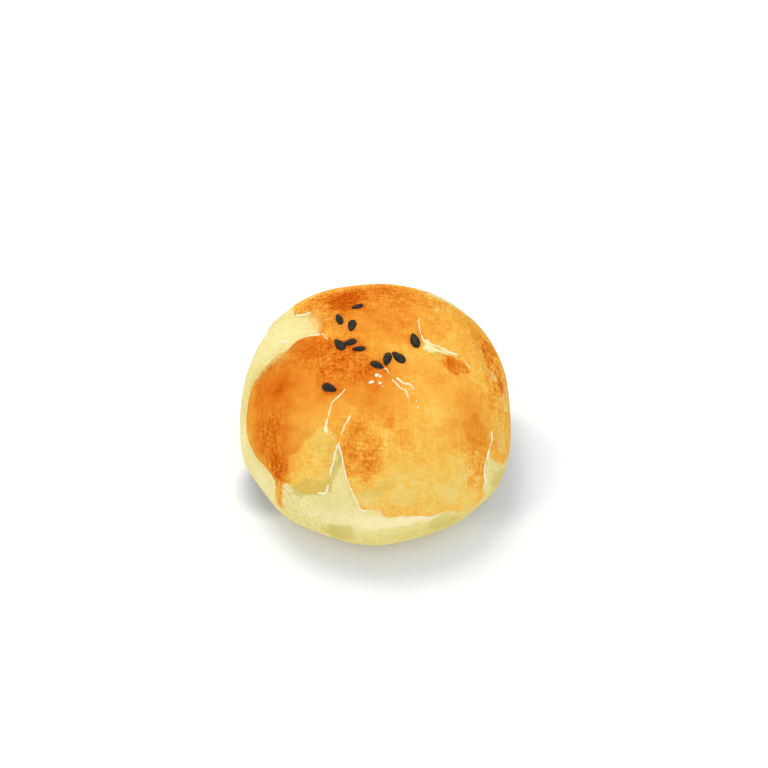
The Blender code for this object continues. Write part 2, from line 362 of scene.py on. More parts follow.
# %% The edge of the egg wash
WASH_EDGE = (  # azimuth, tilt, softness in mm
    # up the fork and along the foot of the middle lobe
    (-109.8, 47.5, 0.1), (-108, 52, 0.1), (-106.5, 54.5, 0.1), (-105, 58, 0.15), (-103, 62, 0.15),
    (-100.8, 67, 0.15), (-99, 71, 0.15), (-97.5, 74.5, 0.15), (-95.8, 77, 0.2), (-93.5, 76.8, 0.3),
    (-91, 76.5, 0.3), (-88, 78.5, 0.3), (-86, 80.5, 0.3), (-84, 82, 0.2), (-82, 81.5, 0.2),
    (-80, 80.8, 0.3), (-77, 82.5, 0.2), (-74, 82.8, 0.2), (-71.5, 83.3, 0.2), (-68.5, 85.5, 0.2),
    (-66, 86.5, 0.2), (-63, 85.8, 0.3), (-60, 86, 0.5), (-57, 88.5, 0.6), (-54, 92, 0.7),
    (-50, 94.5, 0.9), (-45, 95.5, 1.0), (-40.5, 94.5, 1.0),
    # up the right-hand crack, and round the right side
    (-40, 91, 0.6), (-40.5, 88, 0.2), (-38.8, 84, 0.15), (-38.4, 78, 0.15), (-37, 73.5, 0.15),
    (-35, 70, 0.15), (-32, 69.5, 0.2), (-34, 73.5, 0.4), (-32.5, 78, 0.5), (-30.5, 81.5, 0.6),
    (-27, 86.5, 0.8), (-22, 91, 0.9), (-12, 94, 1.1), (0, 92, 1.3), (10, 85, 1.5), (18, 78, 1.6),
    (26, 73, 1.6), (34, 67, 1.6), (40, 61, 1.6), (48, 57, 1.6), (56, 58, 1.4),
    # the far side, which is like the near one
    (63, 65, 1.0), (66, 74, 0.5), (62, 82, 0.6), (68, 86, 0.6), (71, 74, 0.2), (74, 64, 0.15),
    (80, 74, 0.2), (84, 84, 0.5), (94, 90, 0.8), (108, 92, 0.6), (118, 85, 0.8), (125, 74, 1.0),
    (131, 63, 1.2), (137, 54, 1.0), (142.5, 48, 0.4),
    # the top of the bare gap, with its torn edge and its brushed-out end
    (144.8, 45.5, 0.2), (144.3, 40.5, 0.3), (143, 38.5, 1.0), (145, 36, 2.6), (150, 32, 3.2),
    (155, 28.6, 2.8), (160.5, 26.6, 1.6), (165, 25.8, 0.7), (167.2, 26, 0.2), (167.8, 28.5, 0.15),
    (169.3, 31.8, 0.15), (171.3, 34, 0.2), (176, 36.2, 0.4), (178.8, 39.8, 0.8), (179.8, 45, 1.5),
    (-179.9, 51, 2.0), (-179, 57, 2.2), (-176.5, 62.5, 1.8), (-172.8, 67, 1.3), (-169, 71, 1.0),
    (-165, 74.5, 0.8),
    # the foot of the left lobe, with its drip
    (-161, 76.2, 0.5), (-156.5, 77.3, 0.4), (-149.5, 78, 0.3), (-144.5, 77, 0.3), (-138.5, 77, 0.25),
    (-135.8, 78.6, 0.2), (-135.2, 83, 0.25), (-135.2, 89, 0.3), (-135, 94.5, 0.9), (-131, 94, 0.9),
    (-131.3, 86, 0.3), (-131, 80, 0.25), (-130.8, 76.5, 0.3), (-128.5, 74.8, 0.3), (-125.5, 74.6, 0.3),
    (-122.5, 76, 0.3), (-117.5, 74.3, 0.3), (-115, 72.5, 0.15), (-111.6, 71.8, 0.15),
    (-110.8, 68, 0.12), (-110.6, 62, 0.1), (-110.6, 55, 0.1),
)


def wash_cover(plain, azimuth, tilt):
    """How far each place lies within the wash (in mm, negative outside) and how softly it ends."""
    places = [corner[:2] for corner in WASH_EDGE]
    closed = (*WASH_EDGE, WASH_EDGE[0])
    sides = [line_points((start[:2], end[:2]), smooth=False)
             for start, end in zip(closed, closed[1:])]
    softness = np.concatenate([np.linspace(start[2], end[2], len(side))
                               for start, end, side in zip(closed, closed[1:], sides)])
    off, number = nearest(grow_tree(np.vstack(sides)), plain)
    return np.where(is_inside(places, azimuth, tilt), off, -off) / MM, softness[number]


print("the wash ends along", len(WASH_EDGE), "sides")

# %% [markdown]
# ## Browning and shade
# Heat browns the wash unevenly. Some of it comes as soft clouds: a place, a half width across and a
# half height down in millimetres, a lean in degrees, how firm the edge is (1 soft, 2 firm), and an
# amount. Where a brush stroke ended, or the dough tore, a patch has a firmer outline of its own: an
# amount, the softness of its edge in millimetres, and its corners. Both are read at places that are
# shaken a little, so that no cloud comes out as a plain oval and no outline as a straight line.

# %% Clouds and patches
PATCH_WANDER = 0.7 * MM  # how far the edge of a cloud or a patch wanders
WANDER_SPACING = 2.8 * MM
WANDER_SHIFTS = (11.3, 47.9, 83.1)  # another stretch of noise for each axis
CLOUD_DEPTH = 12 * MM  # a cloud ends this far in from its place, and never reaches the other side


def wander(plain):
    """The points of the skin, each shaken by about PATCH_WANDER, as noise seldom passes a half."""
    aside = np.stack([noise_at(plain, WANDER_SPACING, shift) for shift in WANDER_SHIFTS], axis=-1)
    return plain + 2 * PATCH_WANDER * aside


def clouds_at(points, clouds):
    """The sum of some clouds at each point."""
    total = np.zeros(len(points))
    for azimuth, tilt, across, down, lean, firmness, amount in clouds:
        middle = toward(azimuth, tilt)
        round_way = np.array((-math.sin(math.radians(azimuth)), math.cos(math.radians(azimuth)), 0))
        down_way = toward(azimuth, tilt + 90)
        off = points - plain_form(middle)
        u, v = off @ round_way / MM, off @ down_way / MM
        turn = math.radians(lean)
        u, v = u * math.cos(turn) + v * math.sin(turn), v * math.cos(turn) - u * math.sin(turn)
        near = np.exp(-(((u / across) ** 2 + (v / down) ** 2) ** firmness))
        total += amount * near * (off @ middle > -CLOUD_DEPTH)
    return total


def patches_at(points, patches):
    """The sum of some patches at each point."""
    ways_there = points - (0, 0, GIRTH_HEIGHT)
    ways_there /= np.linalg.norm(ways_there, axis=1, keepdims=True)
    azimuth, tilt = place_of(ways_there)
    total = np.zeros(len(points))
    for amount, softness, outline in patches:
        rim = grow_tree(line_points((*outline, outline[0]), smooth=False))
        off = nearest(rim, points)[0] / MM
        depth = np.where(is_inside(outline, azimuth, tilt), off, -off)
        total += amount * smoothstep(depth, -softness, softness)
    return total


print("edges wander by", PATCH_WANDER / MM, "mm")

# %% [markdown]
# ## Where the seeds lie
# Black sesame is pinched onto the wet wash, so it falls in small clusters with single seeds beside them. A
# random scatter would suit a tray full of buns, but on one bun the clusters are what is seen first, so each
# seed has its own place, heading and roll, in degrees, and its length. They are listed this early because
# the crust is darker round each seed: the wash pools and bakes browner there, and painted shade round the
# seed adds to it.

# %% Where the seeds lie
SEEDS = (  # azimuth, tilt, heading, length, roll
    (112, 21.2, -158, 2.7 * MM, 0),
    (142, 19.7, 107, 3.7 * MM, 50),
    (144, 12.4, -96, 3.4 * MM, 0),
    (-168.5, 15.4, 126, 3.5 * MM, 0),
    (-168, 11, -161, 3.0 * MM, 0),
    (-141, 9, -175, 2.9 * MM, 35),
    (-1.5, 16.7, 106, 3.7 * MM, 0),
    (-65.5, 12.1, -101, 3.3 * MM, 10),
    (-45, 13.9, 140, 3.5 * MM, 0),
    (-87, 14, -26, 3.0 * MM, 0),
    (-130, 30, -26, 3.4 * MM, 0),
)
RIM_AMOUNT = 0.15  # how much darker the wash is round a seed: browner where it pooled, and painted shade
RIM_LENGTH, RIM_WIDTH = 0.58, 0.38  # half sizes of the pool, as shares of the seed's length
RIM_FIRMNESS = 2

# each seed's pool: browning where the wash pooled, and painted shade round the seed
seed_pools_and_shade = tuple(
    (azimuth, tilt, RIM_LENGTH * length / MM, RIM_WIDTH * length / MM, 90 + azimuth - heading,
     RIM_FIRMNESS, RIM_AMOUNT)
    for azimuth, tilt, heading, length, roll in SEEDS)
print(len(SEEDS), "seeds")

# %% [markdown]
# ## Browning of the crown
# The crown bakes first and darkest, and darker still round the seeds, where painted shade adds to the
# browning. This could be painted as an image, but an image has a fixed sharpness and can't be read, while
# clouds in a list can be moved one by one. PLAIN_BAKE is the golden brown between the clouds, on a scale
# from 0, pale yellow, to 1, burnt orange. Each cloud adds to it or takes away.

# %% Browning of the crown
PLAIN_BAKE = 0.43
CROWN_BAKE = (  # azimuth, tilt, across, down, lean, firmness, amount
    (0, 0, 11, 11, 0, 1, 0.16),
    (50, 14, 9, 6, 0, 1, 0.07),
    (75, 18, 8, 5, 0, 1, 0.12),
    (104, 12, 5, 4, 0, 1, 0.1),
    (-20, 23, 4, 4, 0, 1, -0.1),
    (-32, 12, 3, 4, 0, 1, -0.08),
    (-115, 5, 6, 3, 0, 1, -0.08),
    (-168, 13, 4.5, 4, 0, 1, 0.17),
    (-140, 15, 5, 4, 0, 1, 0.1),
    (-112, 17, 5, 3.2, 0, 1, 0.14),
    (-112, 27, 4.5, 3, 0, 1, 0.1),
    (-123, 32, 4, 4, 0, 1, 0.08),
    (-90, 17, 4, 3, 0, 1, 0.22),
    (-134, 31, 4, 4, 0, 1, 0.12),
    (-140, 25, 3, 2.4, 0, 1, 0.14),
    (120, 14, 5, 2.4, 0, 1, -0.07),
    (152, 14, 3, 2.4, 0, 1, -0.08),
    (141, 31, 2.6, 3, 0, 1, -0.14),
    (180, 17, 2.6, 2.4, 0, 1, -0.13),
    (85, 14, 5, 3, 0, 1, -0.07),
    (98, 23, 4, 4, 0, 1, -0.12),
    (-152, 22, 8, 5, 0, 1, 0.03),
    (-163, 21, 3, 3, 0, 1, 0.06),
    (-117, 10, 3, 2, 0, 1, 0.06),
    (-97, 26, 4, 3, 0, 1, 0.1),
)
print(len(CROWN_BAKE), "clouds of browning on the crown")

# %% [markdown]
# ## Browning of the lobes
# In front the splits part the skin into two lobes. The left one bakes dark along its far side and
# down to its drip, and the middle one stays golden, with a brown flank along the fork and a pale
# foot. One noise for the whole bun would give neither, so the lobes have clouds of their own.

# %% Browning of the lobes
LOBE_BAKE = (  # azimuth, tilt, across, down, lean, firmness, amount
    # the left lobe, dark along its far side
    (-162, 48, 8, 9, 0, 1, 0.44),
    (-146, 68, 6, 6, 0, 1, 0.26),
    (-145, 60, 2.4, 3, 0, 1, 0.1),
    (-136, 71, 2.6, 3.6, 0, 1.5, 0.22),
    (-133, 74.5, 1.6, 1.4, 0, 1, 0.22),
    (-132, 62, 3, 8, 0, 1, 0.18),
    (180, 34, 5, 4, 0, 1, 0.1),
    (-174, 60, 4, 6, 0, 1, 0.12),
    (-178, 28, 4, 3, 0, 1, 0.08),
    (-141, 57, 3, 5, 0, 1, 0.1),
    (-128, 44, 3, 5, 15, 1, -0.04),
    # the middle lobe
    (-60, 40, 8, 8, 0, 1, -0.1),
    (-68, 36, 13, 14, 0, 1, -0.07),
    (-68, 29, 3, 3, 0, 1, -0.08),
    (-72, 72, 7, 5, 0, 1, 0.04),
    (-66, 72, 12, 8, 0, 1.5, -0.2),
    (-95, 70, 4, 3.4, 0, 1, -0.24),
    (-80, 61, 4, 2, 0, 1, -0.12),
    (-82, 32, 7, 4, 0, 1, 0.18),
    (-66, 24, 5, 4, 0, 1, 0.08),
    (-70, 40, 5, 5, 0, 1, 0.1),
    (-94, 56, 1.6, 1.6, 0, 1, 0.16),
    (-101, 42, 2.2, 1.8, 0, 1, 0.14),
    (-104, 53, 1.4, 2.4, 0, 1, 0.14),
    (-91, 49.5, 1.6, 0.8, 0, 1, 0.12),
    (-46, 56, 5, 5, 0, 1, 0.07),
)
print(len(LOBE_BAKE), "clouds of browning on the lobes")

# %% [markdown]
# ## Browning of the sides and the back
# The flanks get less heat from above, so their browning is looser, with pale stretches where the
# wash ran thin. The side away from the front is browned by the same kinds of cloud, not by
# mirroring the front, so that the bun looks finished all round and nothing shows twice.

# %% Browning of the sides and the back
SIDE_BAKE = (  # azimuth, tilt, across, down, lean, firmness, amount
    # the right side
    (-32, 56, 5, 6, 10, 1, 0.13),
    (-27, 31, 4, 4, 0, 1, 0.13),
    (-40, 33, 3, 4, 0, 1, 0.05),
    (-32, 49, 4, 3.4, 0, 1, 0.09),
    (-9, 50, 3, 3, 0, 1, -0.08),
    (-46, 80, 4, 5, 0, 1, -0.1),
    (-52, 88, 5, 4, 0, 1, -0.14),
    (18, 28, 2.4, 2.2, 0, 1.5, 0.1),
    (18, 52, 3.4, 3, 0, 1, 0.16),
    (3, 30, 3, 4, 0, 1, -0.08),
    (2, 60, 4, 4, 0, 1, 0.16),
    (-20, 73, 3, 7, 0, 1, -0.1),
    (-12, 60, 3, 3, 0, 1, 0.06),
    (44, 46, 4, 4, 0, 1, 0.1),
    (27, 52, 3.4, 4, 0, 1, 0.12),
    (50, 52, 4, 2.4, 0, 1, -0.14),
    (37, 38, 4, 3, 0, 1, -0.06),
    # the far side
    (123, 27, 6, 6, 0, 1.5, 0.3),
    (98, 35, 9, 5, 0, 1, 0.23),
    (78, 34, 8, 5, 0, 1, 0.13),
    (62, 36, 7, 5, 0, 1, 0.07),
    (133, 40, 4, 4, 0, 1.2, 0.18),
    (105, 51, 14, 6, 0, 1, -0.22),
    (112, 68, 7, 8, 0, 1, 0.16),
    (50, 66, 8, 6, 0, 1, 0.08),
    (88, 62, 5, 6, 0, 1, 0.14),
)
print(len(SIDE_BAKE), "clouds of browning on the sides and the back")

# %% [markdown]
# ## Brushed patches
# Where the brush set down or ran out, browning ends in a firmer edge than a cloud has. The same
# test as for the gaps tells what lies within an outline, and the distance to the outline softens
# its edge. All of the browning is then one sum, cut off at both ends of the scale.

# %% Brushed patches
BAKE_PATCHES = (  # amount, softness in mm, corners
    # the brown flank of the fork, and two fainter strokes right of it
    (0.13, 0.3, ((-106, 38), (-99, 37), (-97, 40), (-96, 44), (-88, 45), (-86.5, 50), (-86, 59), (-90, 60),
                 (-90.5, 63), (-98, 62), (-103, 60), (-105.5, 57), (-107, 53), (-108.5, 48), (-108, 43))),
    (0.14, 0.3, ((-85, 36.5), (-79.5, 36.3), (-76.5, 38.5), (-78.5, 41), (-83, 41), (-85, 39.8))),
    (0.08, 0.4, ((-79, 41.8), (-76, 41.5), (-73, 43), (-68, 43.5), (-67.5, 46), (-69, 50), (-72, 51.5),
                 (-76, 50), (-78, 47))),
    # the pale stroke between the left lobe and the fork
    (-0.17, 0.4, ((-120, 44.5), (-125, 48), (-128, 52), (-129.5, 56), (-130.5, 60), (-131, 65), (-130, 69),
                  (-128, 74), (-126, 78), (-111, 76), (-110, 50), (-113, 46))),
    # below the torn edges of the bare gap, behind the seeds, and below the right-hand split
    (0.12, 0.7, ((172, 34), (170, 30), (169, 26), (176, 22), (-178, 19), (-168, 19), (-160, 20), (-158, 24),
                 (-163, 29), (-170, 33), (-176, 36), (178, 38))),
    (0.12, 0.6, ((104, 29), (108, 25), (118, 22), (128, 22), (134, 25), (134, 31), (128, 34), (118, 33),
                 (110, 35), (104, 34))),
    (0.27, 0.3, ((-9, 27.8), (-4.6, 32), (-4.2, 35.2), (-5.4, 39.4), (-9, 43.8), (-12, 42.2), (-18.6, 39),
                 (-20.6, 34.5), (-18.2, 29.4))),
    # a brown stroke down beside the right-hand crack, and pale strokes near the foot
    (0.1, 0.6, ((-34, 51), (-29, 54), (-30, 61.5), (-34.5, 68), (-38, 75), (-39, 86), (-43, 88), (-49, 82),
                (-49, 74), (-45.5, 66), (-42, 57.5), (-39, 51))),
    (-0.08, 0.3, ((-82, 74.5), (-83.5, 68.8), (-80, 65.5), (-73.5, 65), (-66.5, 68.8), (-66.5, 73.5),
                  (-71.5, 76.8), (-77.5, 76.2))),
    (-0.08, 0.3, ((-66.5, 74.5), (-65, 69.2), (-61.5, 69), (-55, 72.2), (-52.5, 79), (-56.5, 84.2),
                  (-63.5, 80))),
    (-0.08, 0.6, ((-48.5, 63.5), (-49.5, 74.5), (-54.5, 72.8), (-59, 70.2), (-58, 66), (-53.5, 63))),
    # brown strokes on the right side
    (0.2, 0.5, ((16, 52), (22, 62), (20, 68), (9.5, 60), (-1, 53.5), (8, 50.5))),
    (0.2, 0.5, ((1, 57.5), (4, 64.5), (1.5, 70.5), (-5, 71.2), (-8.5, 64.5), (-4.5, 59))),
)


def bake_and_shade_level(points):
    """How brown the wash has baked, from 0, pale yellow, to 1, burnt orange, with painted shade round the
    seeds.
    """
    clouds = clouds_at(points, CROWN_BAKE + LOBE_BAKE + SIDE_BAKE + seed_pools_and_shade)
    return np.clip(PLAIN_BAKE + clouds + patches_at(points, BAKE_PATCHES), 0, 1)


print(len(BAKE_PATCHES), "patches of browning")

# %% [markdown]
# ## Mottling
# Where the wash ran dry under the brush, or blistered in the heat, its colour breaks up into specks
# and strokes, and elsewhere it is smooth. Bare dough is porous in some places and smooth in others.
# Each fine pattern could have a map of its own, but they come and go together, so one map is
# enough, and the finish scales every pattern by it.

# %% Where the colour breaks up
PLAIN_MOTTLING = 0.22
MOTTLING = (  # azimuth, tilt, across, down, lean, firmness, amount
    # the crown
    (-140, 14, 8, 5, 0, 1.5, 0.34), (-172, 25, 5, 6, 0, 1, 0.25), (100, 36, 20, 7, 0, 1.5, 0.45),
    (140, 25, 5, 5, 0, 1, 0.2), (132, 44, 4, 4, 0, 1, 0.5), (-139, 25, 4, 3, 0, 1, 0.4),
    (-12, 35, 3, 4.4, 0, 2, 0.5), (70, 22, 6, 5, 0, 1, 0.2), (30, 30, 8, 6, 0, 1, 0.12),
    # the lobes
    (-100, 50, 6, 9, 0, 2, 0.42), (-146, 61, 3, 4, 0, 1, 0.75), (-135, 72, 3, 4, 0, 1, 0.6),
    (-118, 58, 4, 6, 0, 1.5, 0.3), (-84, 47, 6, 5, 0, 1, 0.25), (-75, 74, 13, 7, 0, 2, 0.2),
    (-42, 74, 5, 8, 0, 1.5, 0.6), (-60, 55, 5, 6, 0, 1, 0.1),
    # the right rim and the far side
    (8, 58, 9, 7, 0, 1.5, 0.8), (-12, 74, 7, 10, 0, 1.5, 0.8), (45, 48, 7, 5, 0, 1, 0.6),
    (112, 68, 8, 10, 0, 1, 0.6), (60, 66, 7, 10, 0, 1, 0.5), (86, 70, 5, 8, 0, 1, 0.4),
    # bare dough that is porous like a sponge
    (-124, 87, 6, 7, 0, 2, 0.95), (-112, 94, 4, 4, 0, 2, 0.7), (176, 52, 4, 8, 0, 1, 0.5),
    (-176, 68, 2, 8, 0, 1, 0.5), (-85, 92, 10, 6, 0, 1.5, -0.15), (-106, 72, 4, 6, 0, 1.5, -0.2),
    # places that baked evenly
    (-162, 46, 7, 8, 0, 1.5, -0.12), (-132, 45, 6, 9, 0, 1.5, -0.15), (-105, 30, 7, 5, 0, 1.5, -0.12),
    (-45, 45, 8, 8, 0, 1.5, -0.12),
)
print(len(MOTTLING), "clouds of mottling")

# %% [markdown]
# ## Khaki shade
# Where dough folds in, at the fork, under the lobes and at the foot, it looks khaki: little light
# gets there, and what does has bounced off yellow dough. Traced light does some of this, but relief
# this low gives too little of it, so the shade has a map of its own, which dulls wash and dough
# alike.

# %% Khaki shade, on wash and dough alike
KHAKI_CLOUDS = (  # azimuth, tilt, across, down, lean, firmness, amount
    (-120, 51, 4.5, 2.6, 0, 1.5, 0.35), (-113, 58, 2, 4, 0, 1, 0.2), (12, 46, 2.2, 1.6, 0, 1.5, 0.3),
    (48, 54, 8, 2.4, 0, 1, 0.4), (178, 42, 3, 4, 0, 1, 0.35), (-180, 60, 2.5, 6, 0, 1, 0.5),
    (-172, 72, 2, 5, 0, 1, 0.25), (150, 40, 3, 2.4, 0, 1, 0.25), (-124, 90, 5, 6, 0, 1, 0.2),
    (-145, 81, 3, 2, 0, 1, 0.15), (-158, 80, 2.5, 4, 0, 1, 0.12), (-30, 94, 3, 4, 0, 1.5, 0.3),
    (-50, 45, 2, 5, 0, 1, 0.1), (-75, 56, 2.5, 3, 0, 1, 0.15), (-24, 68, 3, 6, 0, 1, 0.3),
    (-20, 84, 3, 4, 0, 1, 0.25), (35, 60, 5, 3, 0, 1, 0.4), (-110, 80, 3, 3, 0, 1, 0.2),
    (44, 46, 6, 3, 0, 1, 0.35),
)
KHAKI_PATCHES = (  # amount, softness in mm, corners
    (0.8, 0.3, ((-126, 73), (-121.5, 70.5), (-116, 66.2), (-111.5, 64), (-109.5, 66), (-110, 71.5),
                (-115, 73.5), (-120, 77.5), (-125, 78), (-128, 76))),
    (0.75, 0.25, ((-110.6, 52.5), (-109.5, 50.5), (-108, 53.2), (-107.5, 57.2), (-108, 63), (-109.5, 67.5),
                  (-110.8, 66), (-110.8, 58))),
    (0.4, 0.4, ((-97, 67), (-90, 64.5), (-85, 60.5), (-79.5, 61), (-81.5, 66), (-87, 69.5), (-95, 70.5))),
    (0.6, 0.4, ((-8, 22.8), (-6.5, 27.8), (-7.5, 29), (-12.5, 28.8), (-19.5, 26.8), (-18, 24.5))),
    (0.9, 1.2, ((-112.5, 92), (-108.5, 89), (-104, 88.5), (-100.5, 91.5), (-99.5, 99), (-106, 102.5),
                (-112, 99.5))),
    (0.55, 0.3, ((-67.5, 97.2), (-66, 89.5), (-63, 86), (-59, 87.2), (-52.5, 96.8), (-52.5, 100),
                 (-59.5, 101))),
    (0.65, 0.4, ((7.5, 46.2), (11, 49.8), (-1, 52.5), (-4, 49.8))),
    (0.5, 0.4, ((-36.5, 88), (-31, 85.5), (-19.5, 97.5), (-25, 99.2), (-33, 95.5))),
)
print(len(KHAKI_CLOUDS), "clouds and", len(KHAKI_PATCHES), "patches of khaki")

# %% [markdown]
# ## Bare dough
# Bare dough is cream where flour clung to it and a deeper yellow in its pores. Its brightness also holds
# painted light: a painted highlight in a thin band below the middle lobe's wash, and painted shade along
# the lowest rim of the foot. Dough also shows through the wash as dry flecks, where the brush skipped, and
# the pale flecks on the far rim and at the right foot are painted highlight as well as bare dough. Loose
# flakes of mesh would stand too proud for that, so both are maps: clouds for how bright the dough is, from
# 0 to 1, and patches for how far the wash gives way to pale dough.

# %% How bright the bare dough is, and where it shows through the wash
PLAIN_TONE = 0.6
TONE_AND_LIGHT_CLOUDS = (  # azimuth, tilt, across, down, lean, firmness, amount
    # the first cloud is a painted highlight below the middle lobe; the two darkening ones at tilts 98 and
    # 99 are painted shade at the foot
    (-78, 85.5, 9, 1.8, 0, 2, 0.4), (-98, 84, 8, 4, 0, 1, 0.22), (-165, 83, 4, 7, 0, 1, 0.22),
    (158, 38, 7, 6, 0, 1, 0.12), (163, 55, 6, 7, 0, 1, 0.1), (-92, 98, 16, 3.5, 0, 1.5, -0.1),
    (-145, 90, 6, 5, 0, 1, 0.25), (-104, 63, 2, 4, 0, 1, 0.12), (-5, 24, 3, 3.2, 0, 2, 0.25),
    (-118, 84, 6, 4, 0, 1, 0.2), (-50, 99, 14, 4, 0, 1.5, -0.15), (48, 54, 7, 6, 0, 1, 0.3),
)
BARE_AND_HIGHLIGHT_PATCHES = (  # share of pale dough showing, softness in mm, corners
    # beside the right-hand split, and pale flecks on the far rim: thin wash, and painted highlight
    (1, 0.4, ((6, 19.6), (1.4, 24), (-1.6, 28), (-2.6, 31.8), (-5, 30.2), (-8.6, 28.4), (-10.4, 25.5),
              (-9, 22), (-2, 19.8))),
    (0.53, 0.8, ((60, 48), (50, 46), (43, 49), (38, 54), (37, 62), (46, 63), (60, 58))),
    (0.45, 0.7, ((45, 35.8), (45.5, 41.5), (39, 38), (37, 33.5), (41, 32.8))),
    # dry flecks on the right rim, and at its foot a pale edge that is also painted highlight
    (0.44, 0.5, ((-2, 53), (1.5, 57), (-2.5, 59.5), (-8, 55))),
    (0.46, 0.7, ((4, 62), (6, 68), (0, 74), (-10, 74.5), (-14, 69), (-9, 62.5), (-4, 66))),
    (0.46, 0.6, ((-22, 70), (-20, 77), (-23, 84), (-29.5, 76), (-27.5, 69))),
    (0.46, 0.8, ((-58, 91.5), (-50, 89), (-42, 92.5), (-39, 99), (-47, 103), (-56, 99))),
)
print(len(TONE_AND_LIGHT_CLOUDS), "clouds on the dough and", len(BARE_AND_HIGHLIGHT_PATCHES), "scraped patches")

# %% [markdown]
# ## The crust mesh
# The skin is one closed surface, so it is made as the solid was, from a cube whose grid is drawn out
# to a sphere and then to the skin: the cells stay nearly square, with no pole to pinch the browning.
# Its cells are 0.4 mm wide, five times finer than the solid's. On top of the solid's form it gets
# relief that a solid doesn't need: the thickness of the wash, its blisters, and scales of dough.

# %% A cube drawn out to a sphere
CELLS = 120  # along each edge of the cube


def sphere_grid(cells):
    """A mesh of a sphere of radius 1, made from a finely divided cube."""
    bm = bmesh.new()
    bmesh.ops.create_cube(bm, size=2)
    bmesh.ops.subdivide_edges(bm, edges=bm.edges[:], cuts=cells - 1, use_grid_fill=True)
    mesh = bpy.data.meshes.new("pastry_crust")
    bm.to_mesh(mesh)
    bm.free()
    corners = np.empty(len(mesh.vertices) * 3)
    mesh.vertices.foreach_get("co", corners)
    corners = np.tan(corners.reshape(-1, 3) * math.pi / 4)
    return mesh, corners / np.linalg.norm(corners, axis=1, keepdims=True)


crust_mesh, ways = sphere_grid(CELLS)
azimuths, tilts = place_of(ways)
plain_skin = plain_form(ways)
print(len(ways), "vertices,", 2 * len(crust_mesh.polygons), "triangles")

# %% [markdown]
# ## One number per vertex
# Every map is now read once at each vertex. Shader nodes could work out the clouds, but not the distance to
# a drawn outline. Even the smallest cloud is four cells high, so no step shows. Within a pale patch the
# edge of the wash is moved inwards, as if the wash ended there; most such patches are scraped wash, and
# those on the far rim and at the right foot are painted highlight as well.

# %% Read every map at the vertices
PALE_AT_ALL = 0.02  # less than this share of pale dough counts as none
PALE_SPAN = 4  # mm that the wash's edge moves between no pale dough and all of it
PALE_SOFTNESS = 0.8  # mm

shaken = wander(plain_skin)
wash_depth, wash_softness = wash_cover(plain_skin, azimuths, tilts)
_, gap_depth = gap_recess(plain_skin, azimuths, tilts)
bake_and_shade = bake_and_shade_level(shaken)
mottling = np.clip(PLAIN_MOTTLING + clouds_at(shaken, MOTTLING), 0, 1)
khaki = np.clip(clouds_at(shaken, KHAKI_CLOUDS) + patches_at(shaken, KHAKI_PATCHES), 0, 1)
tone = np.clip(PLAIN_TONE + clouds_at(shaken, TONE_AND_LIGHT_CLOUDS), 0, 1)
# pale dough where the wash is scraped, and pale flecks that are painted highlight
scraped_and_highlight = patches_at(shaken, BARE_AND_HIGHLIGHT_PATCHES)
pale_depth = np.minimum(wash_depth, PALE_SPAN * (0.5 - scraped_and_highlight))
wash_depth = np.where(scraped_and_highlight > PALE_AT_ALL, pale_depth, wash_depth)
wash_softness = np.where(scraped_and_highlight > PALE_AT_ALL, PALE_SOFTNESS, wash_softness)
washed = smoothstep(wash_depth, -wash_softness, wash_softness)
print("washed:", round(100 * float(washed.mean())), "% of the skin, mean bake",
      round(float(bake_and_shade[washed > 0.5].mean()), 2))

# %% [markdown]
# ## Finer relief
# A crust has relief too fine for a solid that has to stay light: the wash is a coat about 0.1 mm
# thick with low blisters, bare dough is scaly, and inside a gap the torn layers lie in steps. A
# bump texture would shade them but leave the outline smooth. So they are real height here, and only
# what is hardly wider than a cell is left to bump.

# %% Finer relief
WASH_THICKNESS = 0.12 * MM
BLISTER_HEIGHT, BLISTER_SPACING = 0.05 * MM, 1.3 * MM
PLAIN_BLISTERS, MOTTLED_BLISTERS, BROWN_BLISTERS = 0.3, 0.7, 0.5  # shares of that height
SCALE_HEIGHT, SCALE_SPACING = 0.07 * MM, 1.1 * MM
SCALE_LEVEL = 0.25  # about the mean of the scales, so that they don't thicken the dough
LAYER_STEP, LAYER_SPACING = 0.08 * MM, 1.2 * MM  # torn layers, as terraces inside a gap
LAYER_WANDER, LAYER_WANDER_SPACING = 0.35, 4 * MM  # the first as a share of a terrace
LAYER_RIM = 0.6 * MM  # width over which the terraces begin inside a gap's rim
LAYER_FADE = 15  # degrees above the girth over which they run out

blistered = PLAIN_BLISTERS + MOTTLED_BLISTERS * mottling + BROWN_BLISTERS * bake_and_shade
blisters = noise_at(plain_skin, BLISTER_SPACING) * blistered
scales = np.abs(noise_at(plain_skin, SCALE_SPACING, shift=5.5))
terraces = gap_depth / LAYER_SPACING
terraces = (terraces + LAYER_WANDER * noise_at(plain_skin, LAYER_WANDER_SPACING, shift=31.7)) % 1.0
in_gap = smoothstep(gap_depth, 0, LAYER_RIM) * (1 - washed) * smoothstep(90 - tilts, 0, LAYER_FADE)
fine_relief = washed * (WASH_THICKNESS + BLISTER_HEIGHT * blisters)
fine_relief += (1 - washed) * SCALE_HEIGHT * (scales - SCALE_LEVEL) - in_gap * LAYER_STEP * terraces
print("fine relief from", round(fine_relief.min() / MM, 2), "to", round(fine_relief.max() / MM, 2), "mm")

# %% [markdown]
# ## The crust itself
# The mesh now gets its points, and each map as a named attribute. Vertex colours could carry them
# too, but a plain number per name lets the finish mix them freely. The crust repeats the form of
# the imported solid, so it replaces that solid, seeds and all, and rides on the same body.

# %% Build the crust
def add_map(mesh, name, values):
    """Stores one number per vertex under a name that the finish can read."""
    mesh.attributes.new(name, "FLOAT", "POINT").data.foreach_set("value", values.astype(np.float32))


